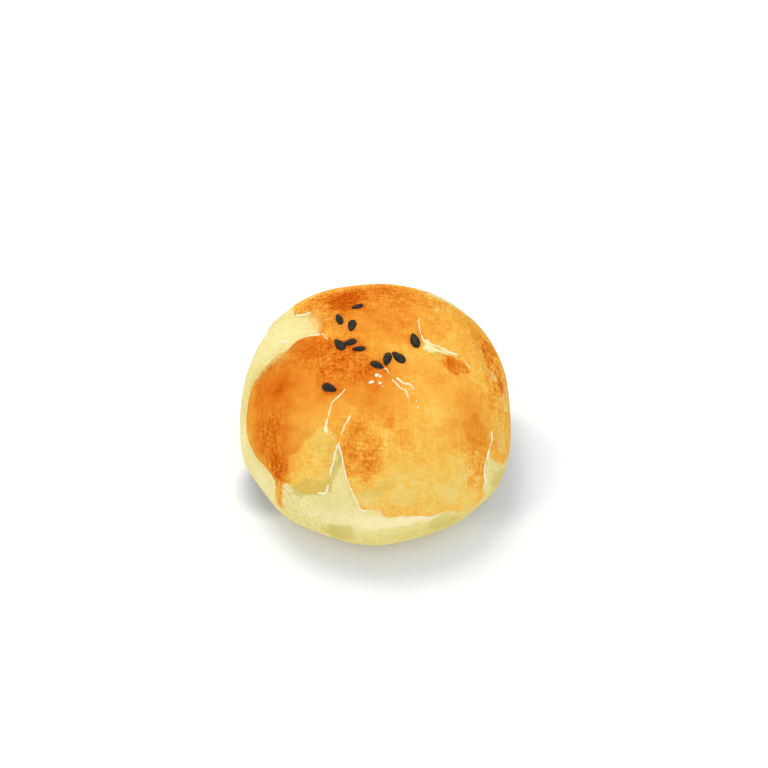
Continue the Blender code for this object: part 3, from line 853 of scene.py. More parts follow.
crust_maps = {"wash_depth": wash_depth, "wash_softness": wash_softness, "bake_and_shade": bake_and_shade,
              "mottling": mottling, "khaki": khaki, "tone": tone}
crust_points = skin_points(ways, fine_relief, TORN_FILL)
crust_points[:, 2] = np.maximum(crust_points[:, 2], 0)  # the tray
crust_mesh.vertices.foreach_set("co", crust_points.astype(np.float32).ravel())
for name, values in crust_maps.items():
    add_map(crust_mesh, name, values)
crust_mesh.shade_smooth()
crust = bpy.data.objects.new("pastry_crust", crust_mesh)
bpy.context.scene.collection.objects.link(crust)
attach(crust, "root")
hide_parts("pastry")
print("crust:", [round(size / MM, 1) for size in crust.dimensions], "mm")

# %% [markdown]
# ## Finishes
# Every finish is one Principled shader. Colours are written as sRGB hex, as a paint chart would
# give them, and one function turns them into the linear light that Blender mixes. One more function
# adds a node of any kind: its inputs, where a socket is linked and anything else is a value, then
# which of its outputs is wanted, and its settings.

# %% Helpers for finishes
COLOUR_A, COLOUR_B, MIXED = 6, 7, 2  # a Mix node has sockets for each kind of value: these mix colours


def linear(hex_colour):
    """An sRGB hex colour as linear red, green, blue and alpha."""
    shares = [int(hex_colour[k : k + 2], 16) / 255 for k in (1, 3, 5)]
    return (*(s / 12.92 if s <= 0.04045 else ((s + 0.055) / 1.055) ** 2.4 for s in shares), 1)


def start_finish(name):
    """A new material with a Principled shader, and its node tree."""
    material = bpy.data.materials.new(name)
    material.use_nodes = True
    return material, material.node_tree, material.node_tree.nodes["Principled BSDF"]


def add_node(tree, kind, inputs, output=0, **settings):
    """Adds a node of that kind to a tree, with its settings, values and links. Gives one output."""
    node = tree.nodes.new("ShaderNode" + kind)
    for name, value in settings.items():
        setattr(node, name, value)
    for socket, value in inputs.items():
        if isinstance(value, bpy.types.NodeSocket):
            tree.links.new(value, node.inputs[socket])
        else:
            node.inputs[socket].default_value = value
    return node.outputs[output]


def per_metre(size_in_mm):
    """The scale of a pattern whose lumps are that far apart, for a texture laid out in metres."""
    return 1000 / size_in_mm


print("golden brown in linear light:", [round(share, 3) for share in linear("#E07D21")])

# %% [markdown]
# ## Baked crust
# The crust is wheat dough layered with lard. Where it is bare, it bakes to a dry, cream-coloured,
# slightly scaly skin. Where it is washed, beaten egg has dried to a thin yellow film that browns
# from the top of each blister: golden at first, then orange, then burnt orange in mottled patches.
# Both are one material here, because on the real bun one skin runs through both.

# %% Baked crust: read the maps
crust_finish, tree, shader = start_finish("egg_washed_flaky_crust")
coords = add_node(tree, "TexCoord", {}, "Object")
maps = {name: add_node(tree, "Attribute", {}, "Fac", attribute_name=name) for name in crust_maps}
print("maps read:", ", ".join(maps))

# %% [markdown]
# ## Patterns in the crust
# Wash and dough have texture at several scales: clouds a few millimetres wide, blotches, grain,
# specks, and a net of fine browned walls between blisters. One noise with many octaves would mix
# them all up. Here each is a noise at its own real size, less its middle value, so that it swings
# round zero. The net is what remains of such a noise close to zero.

# %% Patterns in the crust
NOISES = {  # how far apart the lumps are in mm, detail, roughness, distortion
    "clouds": (3.4, 2.0, 0.5, 0.0),
    "speckle": (0.55, 3.0, 0.6, 0.0),
    "grain": (1.1, 4.0, 0.65, 0.0),
    "blotches": (1.5, 3.0, 0.6, 0.6),
    "rags": (1.6, 4.0, 0.7, 0.0),
    "cells": (1.1, 1.0, 0.5, 0.0),
}
NET_SHARPNESS = 5.0  # more makes the walls thinner
NET_MIDDLE = 0.45  # taken off, so that the net swings round zero as well

patterns = {}
for name, (size, detail, roughness, distortion) in NOISES.items():
    lumps = add_node(tree, "TexNoise", {"Vector": coords, "Scale": per_metre(size), "Detail": detail,
                                        "Roughness": roughness, "Distortion": distortion})
    patterns[name] = add_node(tree, "Math", {0: lumps, 1: 0.5}, operation="SUBTRACT")
from_wall = add_node(tree, "Math", {0: patterns["cells"]}, operation="ABSOLUTE")
net = add_node(tree, "Math", {0: from_wall, 1: -NET_SHARPNESS, 2: 1.0},
               operation="MULTIPLY_ADD", use_clamp=True)
patterns["net"] = add_node(tree, "Math", {0: net, 1: NET_MIDDLE}, operation="SUBTRACT")
print("patterns:", ", ".join(patterns))

# %% [markdown]
# ## Brush marks
# A pastry brush leaves streaks of thicker wash. Drawing each streak as a curve would take hundreds.
# Noise that is squeezed to a seventh along the bun's axes looks the same, and two layers of it
# cross, as strokes do. The bristles of a real brush mark every 0.2 mm, which is too fine to show,
# so the marks are drawn about twice as wide, and a little distortion keeps them from looking woven.

# %% Brush marks
STROKE_WIDTH = 0.42  # mm
STROKE_SHARE = 0.14  # a mark is about seven times as long as it is wide
STROKE_DETAIL, STROKE_ROUGHNESS, STROKE_DISTORTION = 3.0, 0.6, 0.4

brushed = []
for squeeze in ((STROKE_SHARE, 1, 1), (1, STROKE_SHARE, STROKE_SHARE)):
    squeezed = add_node(tree, "VectorMath", {0: coords, 1: squeeze}, operation="MULTIPLY")
    brushed.append(add_node(tree, "TexNoise", {
        "Vector": squeezed, "Scale": per_metre(STROKE_WIDTH), "Detail": STROKE_DETAIL,
        "Roughness": STROKE_ROUGHNESS, "Distortion": STROKE_DISTORTION}))
both = add_node(tree, "Math", {0: brushed[0], 1: brushed[1]}, operation="ADD")
patterns["strokes"] = add_node(tree, "Math", {0: both, 1: 1.0}, operation="SUBTRACT")
print("brush marks", STROKE_WIDTH, "mm wide and", round(STROKE_WIDTH / STROKE_SHARE, 1), "mm long")

# %% [markdown]
# ## Breaking a level up
# Browning, the brightness of dough and the edge of the wash are all broken up in the same way: each
# pattern times its strength is added to a level that a map gives. A node group would do it too, but
# strengths are easier to read in a short table: what a pattern adds anywhere, and what it adds more
# where another map, such as mottling, is at its full.

# %% Breaking a level up
def broken_up(level, steered_by, parts):
    """A level with patterns added to it. Each part names a pattern, its plain strength, and how much
    stronger it is where the map that steers it is 1."""
    for pattern, plain, more in parts:
        strength = add_node(tree, "Math", {0: steered_by, 1: more, 2: plain}, operation="MULTIPLY_ADD")
        level = add_node(tree, "Math", {0: patterns[pattern], 1: strength, 2: level},
                         operation="MULTIPLY_ADD")
    return level


print(len(tree.nodes), "nodes so far")

# %% [markdown]
# ## Where the wash lies
# The brushed coat ends raggedly, and the softer its edge, the further the bristles dragged it out.
# The depth map alone would give a smooth line. So two patterns push the edge to and fro, in
# millimetres, and a smooth step turns the depth that results into how much wash there is.

# %% Baked crust: where the wash lies
EDGE_PARTS = (  # in mm at a firm edge, and more for each mm of softness
    ("rags", 0.63, 1.8),
    ("strokes", 0.0, 1.4),
)
edge_depth = broken_up(maps["wash_depth"], maps["wash_softness"], EDGE_PARTS)
outside = add_node(tree, "Math", {0: maps["wash_softness"], 1: -1.0}, operation="MULTIPLY")
wash_share = add_node(tree, "MapRange", {
    "Value": edge_depth, "From Min": outside, "From Max": maps["wash_softness"]},
    interpolation_type="SMOOTHSTEP")
print("the wash's edge is broken up by", " and ".join(part[0] for part in EDGE_PARTS))

# %% [markdown]
# ## How the levels are broken up
# On evenly brushed crust only wide clouds and faint blotches show. Where the crust is mottled,
# brush marks, the net and dark specks come up as well. Dough has no brush marks of egg, but the
# same patterns stand for its flour streaks, its grain and its pores. Khaki shade gathers in pores
# too, so it is multiplied by specks rather than added to.

# %% Baked crust: browning, dough and khaki
BROWNING_PARTS = (
    ("clouds", 0.3, 0.0),
    ("blotches", 0.14, 0.4),
    ("strokes", 0.06, 0.6),
    ("net", 0.0, 0.28),
    ("speckle", -0.2, 1.2),
)
DOUGH_PARTS = (("speckle", 0.1, 1.9), ("strokes", 0.25, 0.0), ("grain", 0.4, 0.0))
KHAKI_PARTS = (("speckle", 0.8, 2.0),)
KHAKI_LEVEL = 0.9

# the browning map also holds painted shade round the seeds
browning = broken_up(maps["bake_and_shade"], maps["mottling"], BROWNING_PARTS)
dough_tone = broken_up(maps["tone"], maps["mottling"], DOUGH_PARTS)
specked = broken_up(KHAKI_LEVEL, maps["mottling"], KHAKI_PARTS)
khaki_share = add_node(tree, "Math", {0: maps["khaki"], 1: specked},
                       operation="MULTIPLY", use_clamp=True)
print(len(BROWNING_PARTS), "patterns in the browning,", len(DOUGH_PARTS), "in the dough")

# %% [markdown]
# ## Colours of the crust
# Egg browns from straw yellow through golden and orange to burnt orange. Hue matters more than anything
# here, since a crust soon looks too red and dough too olive. A formula for browning could give the colours,
# but two ramps, one for wash and one for dough, let every step be matched. The wash lies over the dough by
# its share, and khaki dulls either of them.

# %% Baked crust: colours
WASH_COLOURS = (
    (0.0, "#EBD585"), (0.15, "#F3CE6C"), (0.3, "#F5C255"), (0.42, "#F4B045"), (0.54, "#EEA038"),
    (0.66, "#E7902C"), (0.8, "#DD781F"), (0.92, "#D36612"), (1.0, "#C0520C"),
)
DOUGH_COLOURS = ((0.0, "#C2AC46"), (0.3, "#DAC66C"), (0.6, "#ECDC8E"), (1.0, "#FBEBB0"))
KHAKI_COLOUR = "#CBB659"
KHAKI_ON_DOUGH, KHAKI_ON_WASH = 0.8, 0.7  # how far it covers them at its fullest

coats = []
for level, stops, cover in ((dough_tone, DOUGH_COLOURS, KHAKI_ON_DOUGH),
                            (browning, WASH_COLOURS, KHAKI_ON_WASH)):
    ramp = add_node(tree, "ValToRGB", {"Fac": level})
    elements = ramp.node.color_ramp.elements
    while len(elements) < len(stops):
        elements.new(1.0)
    for element, (place, colour) in zip(elements, stops):
        element.position, element.color = place, linear(colour)
    shade = add_node(tree, "Math", {0: khaki_share, 1: cover}, operation="MULTIPLY")
    coats.append(add_node(tree, "Mix", {0: shade, COLOUR_A: ramp, COLOUR_B: linear(KHAKI_COLOUR)}, MIXED,
                          data_type="RGBA"))
crust_colour = add_node(tree, "Mix", {0: wash_share, COLOUR_A: coats[0], COLOUR_B: coats[1]}, MIXED,
                        data_type="RGBA")
tree.links.new(crust_colour, shader.inputs["Base Color"])
print(len(WASH_COLOURS), "colours from straw yellow to burnt orange")

# %% [markdown]
# ## Gloss and touch
# Dried egg is a hard film (IOR 1.45 to 1.5) that is half glossy at first and dulls as it bakes, and
# bare dough is dry. In an even white room all that so faint a gloss would do is veil the rim with
# white, so the shine is turned off. The roughness is kept for whoever turns it up again. Pores,
# specks and brush marks are hardly wider than a cell of the mesh, so they are bump.

# %% Baked crust: gloss and touch
BARE_ROUGHNESS, WASHED_ROUGHNESS = 0.75, 0.42
PORE_DEPTH = 0.12 * MM
PORE_PARTS = (("speckle", 0.4, 0.0), ("strokes", 0.4, 0.0), ("grain", 0.4, 0.0))

shader.inputs["IOR"].default_value = 1.45
shader.inputs["Specular IOR Level"].default_value = 0.0
gloss = add_node(tree, "MapRange", {"Value": wash_share, "To Min": BARE_ROUGHNESS,
                                    "To Max": WASHED_ROUGHNESS})
tree.links.new(gloss, shader.inputs["Roughness"])
pores = broken_up(0.0, maps["mottling"], PORE_PARTS)
touch = add_node(tree, "Bump", {"Strength": 0.35, "Distance": PORE_DEPTH, "Height": pores})
tree.links.new(touch, shader.inputs["Normal"])
crust_mesh.materials.append(crust_finish)
print("crust finish of", len(tree.nodes), "nodes")

# %% [markdown]
# ## Torn edges of the splits
# Along each tear the outermost layers have lifted, and their thin dry edge shows as a pale line about 0.4
# mm wide: partly the light that it catches, and partly a painted highlight in its finish. It could be
# painted on, but from the side it should stand up, so it is made as a narrow ridge swept along the tear
# that thins out to nothing at both ends.

# %% Routes of the torn edges
TORN_EDGES = (  # width in mm, and the places the edge runs through
    # the bare gap
    (0.44, ((145.2, 46.2), (144.6, 44.6), (144, 41.2), (143.4, 38.9), (142.2, 37.4), (140.3, 36))),
    (0.36, ((172.5, 34.8), (170.5, 33.6), (169, 31.8), (167.8, 29))),
    (0.7, ((168.3, 30), (167.6, 27.5), (167.4, 25.5), (167.3, 23.6))),
    (0.33, ((167.3, 24.6), (168.3, 22.8), (171, 22), (175, 20.8), (179, 19.6))),
    (0.6, ((166, 45.5), (167.5, 43), (167, 40))),
    # the right-hand split
    (0.36, ((38, 24.4), (36.5, 23.8), (31.5, 22), (25, 21), (19, 20.5), (8.5, 20.2))),
    (0.5, ((12, 20.4), (5, 20.7), (2.5, 22.5), (0.5, 25.2), (-1, 28))),
    (0.64, ((0, 26), (-2, 29.5), (-3, 32.8), (-3.4, 35), (-3.5, 37))),
    (0.3, ((-5, 39.6), (-7, 41.8), (-9.2, 43.8))),
    # the left-hand split
    (0.32, ((-116.8, 26.6), (-117.5, 27.5), (-119.5, 30.5), (-121, 32.5))),
    (0.4, ((-118.5, 29.8), (-120.6, 32), (-122, 34), (-122, 35.6), (-121, 38), (-120.5, 40))),
    (0.46, ((-121.2, 37), (-120.5, 39.8), (-120, 41.8), (-119.6, 43.6))),
    (0.62, ((-120.2, 41), (-119.5, 44), (-118.8, 46), (-118.6, 47.2))),
    (0.4, ((-119.4, 43.5), (-117.8, 45.6), (-116.3, 47.2))),
    # the fork
    (0.46, ((-106.6, 36.4), (-107, 37.2), (-108, 39.2), (-109, 41.5), (-109.5, 43.5), (-109.6, 46.4))),
    (0.5, ((-109.4, 48.4), (-110.1, 50.2), (-110.5, 53), (-110.6, 57), (-110.9, 61), (-111, 63.4))),
    (0.54, ((-110.8, 67.2), (-111.1, 70), (-111.6, 71.8), (-113.4, 72.1), (-115.4, 72.3))),
    (0.48, ((-109.6, 49), (-108, 51.5), (-106.5, 53.8), (-105.4, 57), (-103.8, 60.5), (-102.4, 63.2))),
    (0.3, ((-103, 62), (-102, 63.8), (-101, 66), (-100.2, 68))),
    (0.64, ((-100.8, 66), (-99.8, 68.6), (-98.8, 71.2), (-97.5, 74.5), (-96.5, 75.8))),
    (0.5, ((-97, 75.6), (-95.6, 77), (-94, 77), (-92.2, 76.6))),
    (0.36, ((-89.5, 76.6), (-88, 77.2), (-86.5, 78.4))),
    # small cracks on the crown
    (0.42, ((-75.4, 15.8), (-73, 16.8), (-72.3, 18), (-72.2, 19.2))),
    (0.4, ((-71, 21.2), (-68.5, 23.5), (-67, 25.2), (-64.5, 26.5), (-62.6, 27.4), (-62.5, 29.2),
           (-63.2, 32))),
    (0.56, ((-65.5, 21.4), (-62.5, 23.2), (-60, 25), (-57, 26))),
    (0.42, ((-61, 24.6), (-57, 25.8), (-55.8, 27.2), (-56.2, 30))),
    # the right-hand crack, and the folded foot
    (0.44, ((-27.5, 65), (-28.5, 66.6), (-29.8, 69), (-31.5, 70), (-34, 70.2))),
    (1.1, ((-33.4, 69.6), (-35.2, 71), (-35.8, 73), (-36.2, 74.6))),
    (0.52, ((-36.4, 72.4), (-38.2, 77.5), (-38.5, 83), (-39, 86), (-41.4, 88.8))),
    (0.4, ((-78.5, 82.6), (-76, 83), (-73.5, 83.2), (-71.2, 83.8))),
    (0.5, ((-72, 83.6), (-70, 85), (-68, 86.4), (-65, 86.8), (-62.6, 86))),
    # the far side
    (0.42, ((72, 64), (78, 72), (70, 82), (74, 92))),
    (0.42, ((104, 64), (99, 74), (102, 86))),
)
print(len(TORN_EDGES), "torn edges")

# %% [markdown]
# ## Sweeping a ridge
# A curve with a bevel would give such a ridge too, but with the same section all along. Here a ring
# of six points is set round each point of the line. The ring's width and height follow how open the
# tear is, and noise makes the ridge waver and vary, as torn dough does.

# %% Sweep a ridge along a tear
EDGE_SIDES = 6
EDGE_RISE = 0.55  # height as a share of the width
EDGE_FULLNESS = 1.5  # more than 1 keeps the ridge at its full width for longer
EDGE_UNEVENNESS, EDGE_UNEVENNESS_SPACING = 0.5, 1.1 * MM  # the first as a share of the width
EDGE_WOBBLE, EDGE_WOBBLE_SPACING = 0.16 * MM, 1.3 * MM


def unit(vectors):
    """The same directions, each of length 1."""
    return vectors / np.linalg.norm(vectors, axis=1, keepdims=True)


def sweep_edge(width, places):
    """The rings of points of one torn edge: a low ridge that thins out at both ends."""
    outward = unit(line_points(places) - (0, 0, GIRTH_HEIGHT))
    line = skin_points(outward, fill=TORN_FILL)
    along = unit(np.gradient(line, axis=0))
    side = unit(np.cross(outward, along))
    up = np.cross(along, side)
    share = np.minimum(1, EDGE_FULLNESS * opening(len(line)))
    share *= 1 + EDGE_UNEVENNESS * noise_at(line, EDGE_UNEVENNESS_SPACING, shift=3.3)
    wobble = EDGE_WOBBLE * noise_at(line, EDGE_WOBBLE_SPACING, shift=19.1)
    half, rise = width / 2 * MM * share, EDGE_RISE * width * MM * share
    rings = []
    for number in range(EDGE_SIDES):
        turn = 2 * math.pi * number / EDGE_SIDES
        rings.append(line + side * (wobble + half * math.cos(turn))[:, None]
                     + up * (rise * math.sin(turn))[:, None])
    return np.stack(rings, axis=1)


print("a torn edge of", len(sweep_edge(*TORN_EDGES[0])), "rings")

# %% [markdown]
# ## One mesh of all the edges
# Each ring is joined to the next by six faces, and the ends are closed, so that every ridge is a
# solid and can be printed or weighed. One object for each would fill the file with names that
# nobody needs, so all of them share one mesh.

# %% Build the torn edges
edges_bm = bmesh.new()
for width, places in TORN_EDGES:
    rings = [[edges_bm.verts.new(corner) for corner in ring] for ring in sweep_edge(width, places)]
    for ring, following in zip(rings, rings[1:]):
        for number in range(EDGE_SIDES):
            after = (number + 1) % EDGE_SIDES
            edges_bm.faces.new((ring[number], ring[after], following[after], following[number]))
    edges_bm.faces.new(rings[0][::-1])
    edges_bm.faces.new(rings[-1])
bmesh.ops.recalc_face_normals(edges_bm, faces=edges_bm.faces[:])
edges_mesh = bpy.data.meshes.new("torn_edges")
edges_bm.to_mesh(edges_mesh)
edges_bm.free()
edges_mesh.shade_smooth()
torn_edges = bpy.data.objects.new("torn_edges", edges_mesh)
bpy.context.scene.collection.objects.link(torn_edges)
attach(torn_edges, "root")
print(len(TORN_EDGES), "torn edges,", len(edges_mesh.polygons), "faces")

# %% [markdown]
# ## Finish of the torn layers
# Inner layers of dough are rolled thin, and the wash never reaches them: they bake dry and matt (IOR about
# 1.45, as for most foods). They are the palest thing on the bun: pale dough, lifted to nearly white as a
# painted highlight along each tear and on the flakes. A colour for each edge would be fussy. A fine noise
# between two creams gives the same variety, and it serves the flakes too.

# %% Finish of the torn edges and flakes
CRUMB_SIZE = 0.5  # mm
CRUMB_DEPTH = 0.08 * MM

layer_finish, tree, shader = start_finish("inner_layers_and_highlights")
coords = add_node(tree, "TexCoord", {}, "Object")
crumb = add_node(tree, "TexNoise", {"Vector": coords, "Scale": per_metre(CRUMB_SIZE), "Detail": 3.0})
# cream to near white: pale dough, and painted highlight
layer_and_highlight_colour = add_node(tree, "Mix", {
    0: crumb, COLOUR_A: linear("#F6E7B0"), COLOUR_B: linear("#FFFAE2")}, MIXED, data_type="RGBA")
layer_touch = add_node(tree, "Bump", {"Strength": 0.3, "Distance": CRUMB_DEPTH, "Height": crumb})
tree.links.new(layer_and_highlight_colour, shader.inputs["Base Color"])
tree.links.new(layer_touch, shader.inputs["Normal"])
shader.inputs["Roughness"].default_value = 0.7
shader.inputs["IOR"].default_value = 1.45
shader.inputs["Specular IOR Level"].default_value = 0.1
edges_mesh.materials.append(layer_finish)
print("layer finish of", len(tree.nodes), "nodes")

# %% [markdown]
# ## Laying things on the skin
# Flakes and seeds lie on a slope that differs from place to place. A Shrinkwrap constraint could
# set them down, but it needs the finished mesh. The skin's own formula is quicker: four points
# round a place give the slope, and a heading turns the thing on it.

# %% Lay a thing on the skin
SLOPE_REACH = 0.03  # as a share of the radius, so that the points span about a seed's width


def axes_on_skin(azimuth, tilt, heading):
    """The skin's point at a place, the way out of it, and the turn of a thing that lies there."""
    middle = Vector(toward(azimuth, tilt))
    aside = middle.orthogonal() * SLOPE_REACH
    around = middle.cross(aside)
    ways_round = [(middle + step).normalized() for step in (aside, -aside, around, -around)]
    ahead, behind, left, right = (Vector(point) for point in skin_points(np.array(ways_round)))
    normal = (ahead - behind).cross(left - right).normalized()
    along = Vector((math.cos(math.radians(heading)), math.sin(math.radians(heading)), 0))
    along = (along - normal * along.dot(normal)).normalized()
    turn = Matrix((along, normal.cross(along), normal)).transposed().to_4x4()
    return Vector(skin_points(np.array([middle]))[0]), normal, turn


print("the way out at the crown:", [round(c, 2) for c in axes_on_skin(0, 0, 0)[1]])

# %% [markdown]
# ## Pale flakes, as painted highlights
# A few flakes of pale layer, up to about a millimetre long, lie on the crown just below the seeds, and
# tinier ones further down: painted highlights, made as solid crumbs. They could be torn scraps of thin
# mesh, but those would be open surfaces with no thickness. At this size a squashed, dented ball looks the
# same and is solid.

# %% Build the flakes
HIGHLIGHT_FLAKES = (  # azimuth, tilt, heading, length, width in mm
    (-88, 18.7, 10, 0.95, 0.75), (-83.5, 19.3, 50, 0.6, 0.45), (-94.5, 21.8, 15, 1.15, 0.6),
    (-85, 22.2, -20, 0.75, 0.5), (-82.5, 23.6, 0, 0.28, 0.24), (-58.5, 33.5, 0, 0.3, 0.24),
    (-59.5, 36, 0, 0.36, 0.3),
)
FLAKE_THICKNESS = 0.45  # share of its width
FLAKE_LIFT = 0.12 * MM  # how far its middle is above the skin
FLAKE_DENTS, DENTS_PER_FLAKE = 0.35, 3  # depth as a share of its size, and how many

# each flake is a painted highlight, made as a pale crumb
flakes_bm = bmesh.new()
for azimuth, tilt, heading, length, width in HIGHLIGHT_FLAKES:
    point, normal, turn = axes_on_skin(azimuth, tilt, heading)
    size = Vector((length, width, width * FLAKE_THICKNESS)) * MM
    for vert in bmesh.ops.create_icosphere(flakes_bm, subdivisions=3, radius=0.5)["verts"]:
        dent = noise.noise(vert.co * DENTS_PER_FLAKE + Vector((azimuth, tilt, 0)))
        shape = Vector(a * b for a, b in zip(vert.co, size)) * (1 + FLAKE_DENTS * dent)
        vert.co = point + normal * FLAKE_LIFT + turn.to_3x3() @ shape
flakes_mesh = bpy.data.meshes.new("highlight_flakes")
flakes_bm.to_mesh(flakes_mesh)
flakes_bm.free()
flakes_mesh.shade_smooth()
flakes_mesh.materials.append(layer_finish)
highlight_flakes = bpy.data.objects.new("highlight_flakes", flakes_mesh)
bpy.context.scene.collection.objects.link(highlight_flakes)
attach(highlight_flakes, "root")
print(len(HIGHLIGHT_FLAKES), "flakes")

# %% [markdown]
# ## Black sesame
# A sesame seed is a flat drop, about 3 to 3.5 mm long, with a blunt end, a pointed end and fine
# ridges along its sides. It is pressed into the wet wash before baking, so over a third of it is
# sunk. One seed could be modelled and copied, but eleven copies would look alike. Instead each is a
# ball that a few formulas draw into that shape, bent and roughened a little differently, and it
# lies where the solid has it.

# %% Build the seeds
SEED_WIDTH, SEED_THICKNESS = 0.53, 0.34  # shares of the length
SEED_TAPER = 0.45  # how much slimmer a seed gets from its blunt end to its point
SEED_THINNING = 0.135  # how much thinner it gets on the same way
POINT_START, POINT_TAPER = -0.1, 0.35  # from where on it is drawn in more, and how fast
SEED_LIFT = 0.04  # share of the length by which its middle is above the skin
SEED_BEND, BEND_MEAN = 0.05, 0.1  # the second is taken off, so that a bent seed keeps its place
SEED_LUMPS, LUMPS_PER_SEED = 0.06, 6  # height as a share of the width, and how many
RIDGES, RIDGE_HEIGHT = 9, 0.012  # how many round a seed, and height as a share of its width
SEED_SEGMENTS, SEED_RINGS = 28, 20
NEXT_LUMPS, NEXT_BEND = 7.7, 2.1  # steps from one seed to the next, in the noise and in the bend

seeds_bm = bmesh.new()
ridge_layer = seeds_bm.verts.layers.float.new("ridge")
for number, (azimuth, tilt, heading, length, roll) in enumerate(SEEDS):
    point, normal, turn = axes_on_skin(azimuth, tilt, heading)
    place = (Matrix.Translation(point + normal * SEED_LIFT * length) @ turn
             @ Matrix.Rotation(math.radians(roll), 4, "X") @ Matrix.Scale(length, 4))
    made = bmesh.ops.create_uvsphere(seeds_bm, u_segments=SEED_SEGMENTS, v_segments=SEED_RINGS,
                                     radius=0.5)
    own_noise = Vector((number * NEXT_LUMPS, 0, 0))
    own_bend = SEED_BEND * math.sin(number * NEXT_BEND)
    for vert in made["verts"]:
        along, side, up = vert.co.z, vert.co.y, vert.co.x
        slim = 1 - SEED_TAPER * along
        slim *= 1 - POINT_TAPER * max(0, along - POINT_START) ** 2
        flat = 1 - SEED_THINNING * along
        ridge = math.cos(RIDGES * math.atan2(up, side))
        lump = SEED_LUMPS * noise.noise(vert.co * LUMPS_PER_SEED + own_noise)
        swell = 1 + 2 * (RIDGE_HEIGHT * ridge + lump)
        bend = own_bend * (along * along - BEND_MEAN)
        vert.co = place @ Vector((along, side * SEED_WIDTH * slim * swell + bend,
                                  up * SEED_THICKNESS * flat * swell))
        vert[ridge_layer] = ridge
seeds_mesh = bpy.data.meshes.new("sesame_seeds")
seeds_bm.to_mesh(seeds_mesh)
seeds_bm.free()
seeds_mesh.shade_smooth()
sesame_seeds = bpy.data.objects.new("sesame_seeds", seeds_mesh)
bpy.context.scene.collection.objects.link(sesame_seeds)
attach(sesame_seeds, "root")
print(len(SEEDS), "seeds,", len(seeds_mesh.polygons), "faces")

# %% [markdown]
# ## Finish of the sesame
# The hull of black sesame is a dried skin: nearly black, with a dull gloss (IOR about 1.45). Its
# olive-brown along the ridges is painted sheen, and in spots it is painted sheen over the hull's own brown.
# Painting the ridges would be slow. Every vertex remembers how high on a ridge it lies, and noise spreads
# the olive-brown unevenly, in spots under a millimetre wide.

# %% Finish of the sesame
SHEEN_AND_TONE_SPOTS = 0.7  # mm apart
RIDGE_SHEEN = 0.2
SPOT_SHEEN_AND_TONE, SPOT_START = 2.4, -0.95  # how sharply the spots stand out, and how few there are

seed_finish, tree, shader = start_finish("black_sesame_hull")
coords = add_node(tree, "TexCoord", {}, "Object")
ridge_map = add_node(tree, "Attribute", {}, "Fac", attribute_name="ridge")
spots = add_node(tree, "TexNoise", {"Vector": coords, "Scale": per_metre(SHEEN_AND_TONE_SPOTS), "Detail": 3.0,
                                    "Roughness": 0.6})
# olive-brown on the ridges is painted sheen; in spots it is painted sheen and the hull's own brown
sheen_and_tone = add_node(tree, "Math", {0: spots, 1: SPOT_SHEEN_AND_TONE, 2: SPOT_START}, operation="MULTIPLY_ADD")
sheen_and_tone = add_node(tree, "Math", {0: ridge_map, 1: RIDGE_SHEEN, 2: sheen_and_tone},
                operation="MULTIPLY_ADD", use_clamp=True)
hull_colour = add_node(tree, "Mix", {
    0: sheen_and_tone, COLOUR_A: linear("#161716"), COLOUR_B: linear("#4A4129")}, MIXED, data_type="RGBA")
hull_touch = add_node(tree, "Bump", {"Strength": 0.8, "Distance": 0.1 * MM, "Height": spots})
tree.links.new(hull_colour, shader.inputs["Base Color"])
tree.links.new(hull_touch, shader.inputs["Normal"])
shader.inputs["Roughness"].default_value = 0.6
shader.inputs["IOR"].default_value = 1.45
shader.inputs["Specular IOR Level"].default_value = 0.22
seeds_mesh.materials.append(seed_finish)
print("sesame finish of", len(tree.nodes), "nodes")

# %% [markdown]
# ## The sweep
# The bun sits on a sweep of white paper, matt and without a horizon. The sweep could be bent up
# behind the bun, but a camera that looks down sees only its flat part. So it is one large face, at
# the height of the bun's foot.

# %% Floor
FLOOR_REACH = 1.5  # metres to each side

floor_mesh = bpy.data.meshes.new("floor")
floor_bm = bmesh.new()
bmesh.ops.create_grid(floor_bm, x_segments=1, y_segments=1, size=FLOOR_REACH)
floor_bm.to_mesh(floor_mesh)
floor_bm.free()
floor = bpy.data.objects.new("floor", floor_mesh)
floor.location.z = cad_low.z
bpy.context.scene.collection.objects.link(floor)
print("floor at", round(floor.location.z, 4), "m")

# %% [markdown]
# ## Finish of the sweep
# White paper is matt (roughness about 0.9) and hardly shines. Plain white would be enough, but in so
# open a room the bun's shadow falls very thin. So three soft pools of shade deepen it where the bun
# keeps the light off: all round, to the right and at the left foot. Each is a distance from its
# middle, made uneven by noise, and multiplies the white by a cool grey.

# %% Finish of the floor
PAPER_WHITE = 0.96
SHADES = (  # middle x and y, reach and fade in mm, and the share of red, green and blue left
    (2, -2, 36, 7, (0.93, 0.95, 1.0)),
    (27, -3, 19, 8, (0.85, 0.86, 0.88)),
    (-24, -9, 9.5, 5, (0.7, 0.71, 0.74)),
)
SHADE_LUMPS = 14  # mm apart
SHADE_WANDER = 2 * MM

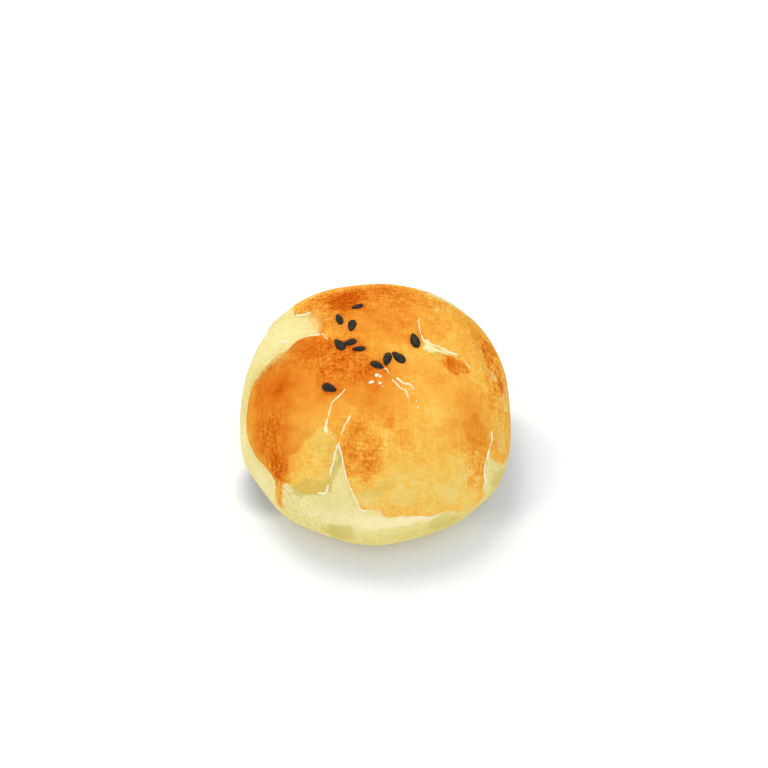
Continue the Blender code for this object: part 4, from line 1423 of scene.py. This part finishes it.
floor_finish, tree, shader = start_finish("white_sweep")
coords = add_node(tree, "TexCoord", {}, "Object")
lumps = add_node(tree, "TexNoise", {"Vector": coords, "Scale": per_metre(SHADE_LUMPS), "Detail": 2.0})
unevenly = add_node(tree, "MapRange", {"Value": lumps, "To Min": -SHADE_WANDER,
                                       "To Max": SHADE_WANDER})
paper = (PAPER_WHITE, PAPER_WHITE, PAPER_WHITE, 1)
for x, y, reach, fade, left in SHADES:
    off = add_node(tree, "VectorMath", {0: coords, 1: (x * MM, y * MM, 0)}, "Value",
                   operation="DISTANCE")
    off = add_node(tree, "Math", {0: off, 1: unevenly}, operation="ADD")
    shade = add_node(tree, "MapRange", {
        "Value": off, "From Min": reach * MM, "From Max": (reach - fade) * MM},
        interpolation_type="SMOOTHSTEP")
    tint = add_node(tree, "Mix", {0: shade, COLOUR_A: (1, 1, 1, 1), COLOUR_B: (*left, 1)}, MIXED,
                    data_type="RGBA")
    paper = add_node(tree, "Mix", {0: 1.0, COLOUR_A: paper, COLOUR_B: tint}, MIXED,
                     data_type="RGBA", blend_type="MULTIPLY")
tree.links.new(paper, shader.inputs["Base Color"])
shader.inputs["Roughness"].default_value = 0.9
shader.inputs["Specular IOR Level"].default_value = 0.0
floor_mesh.materials.append(floor_finish)
print(len(SHADES), "pools of shade")

# %% [markdown]
# ## Light
# Food is often shown in a bright, even room, so that its colours read true. An environment image
# could light it, but a plain, faintly cool world and two softboxes are easier to follow: a large
# key high behind the bun and a little to its left, so that the shadow falls soft and towards the
# front, and a weaker fill from the front.

# %% Room light
ROOM_LIGHT = 0.85
ROOM_COLOUR = (0.97, 1, 1.08, 1)

world = bpy.data.worlds.new("white_room")
world.use_nodes = True
world.node_tree.nodes["Background"].inputs["Color"].default_value = ROOM_COLOUR
world.node_tree.nodes["Background"].inputs["Strength"].default_value = ROOM_LIGHT
bpy.context.scene.world = world


def add_softbox(name, watts, size, distance, azimuth, elevation):
    """A square softbox that looks at the bun from an azimuth and an elevation."""
    lamp = bpy.data.lights.new(name, "AREA")
    lamp.energy, lamp.size = watts, size
    way = Vector(toward(azimuth, 90 - elevation))
    box = bpy.data.objects.new(name, lamp)
    box.location = Vector((0, 0, GIRTH_HEIGHT)) + way * distance
    box.rotation_euler = (-way).to_track_quat("-Z", "Y").to_euler()
    bpy.context.scene.collection.objects.link(box)


add_softbox("key_softbox", watts=2.5, size=0.3, distance=0.9, azimuth=125, elevation=73)
add_softbox("front_fill", watts=0.5, size=0.6, distance=0.9, azimuth=-80, elevation=30)
print("room light", ROOM_LIGHT)

# %% [markdown]
# ## Camera
# The bun is looked down on as it would be on a table, from 52 degrees above the floor. A short lens
# close by would swell its crown, so the lens is long and stands further back. It is set by a
# direction and a distance from the point that it aims at, which is easier to change than a location
# and three angles.

# %% Camera
CAMERA_TILT = 52  # degrees above the floor
CAMERA_DISTANCE = 392 * MM
AIM = Vector((1.8 * MM, 0, 26.5 * MM))  # inside the bun, a little to the right of its middle

lens = bpy.data.cameras.new("camera")
lens.lens = 85
lens.sensor_width = 36
lens.clip_start = 0.01
camera = bpy.data.objects.new("camera", lens)
look_from = Vector(toward(-90, 90 - CAMERA_TILT))
camera.location = AIM + look_from * CAMERA_DISTANCE
camera.rotation_euler = look_from.to_track_quat("Z", "Y").to_euler()
bpy.context.scene.collection.objects.link(camera)
bpy.context.scene.camera = camera
bpy.context.scene.view_settings.view_transform = "Standard"
print("camera at", [round(c, 3) for c in camera.location])

# %% [markdown]
# ## Sizes
# The dressed bun must keep the size of the solid. Measuring it by eye would miss a millimetre. Here the
# view layer is only brought up to date, so that every object stands where it was set.

# %% Bring the scene up to date
bpy.context.view_layer.update()
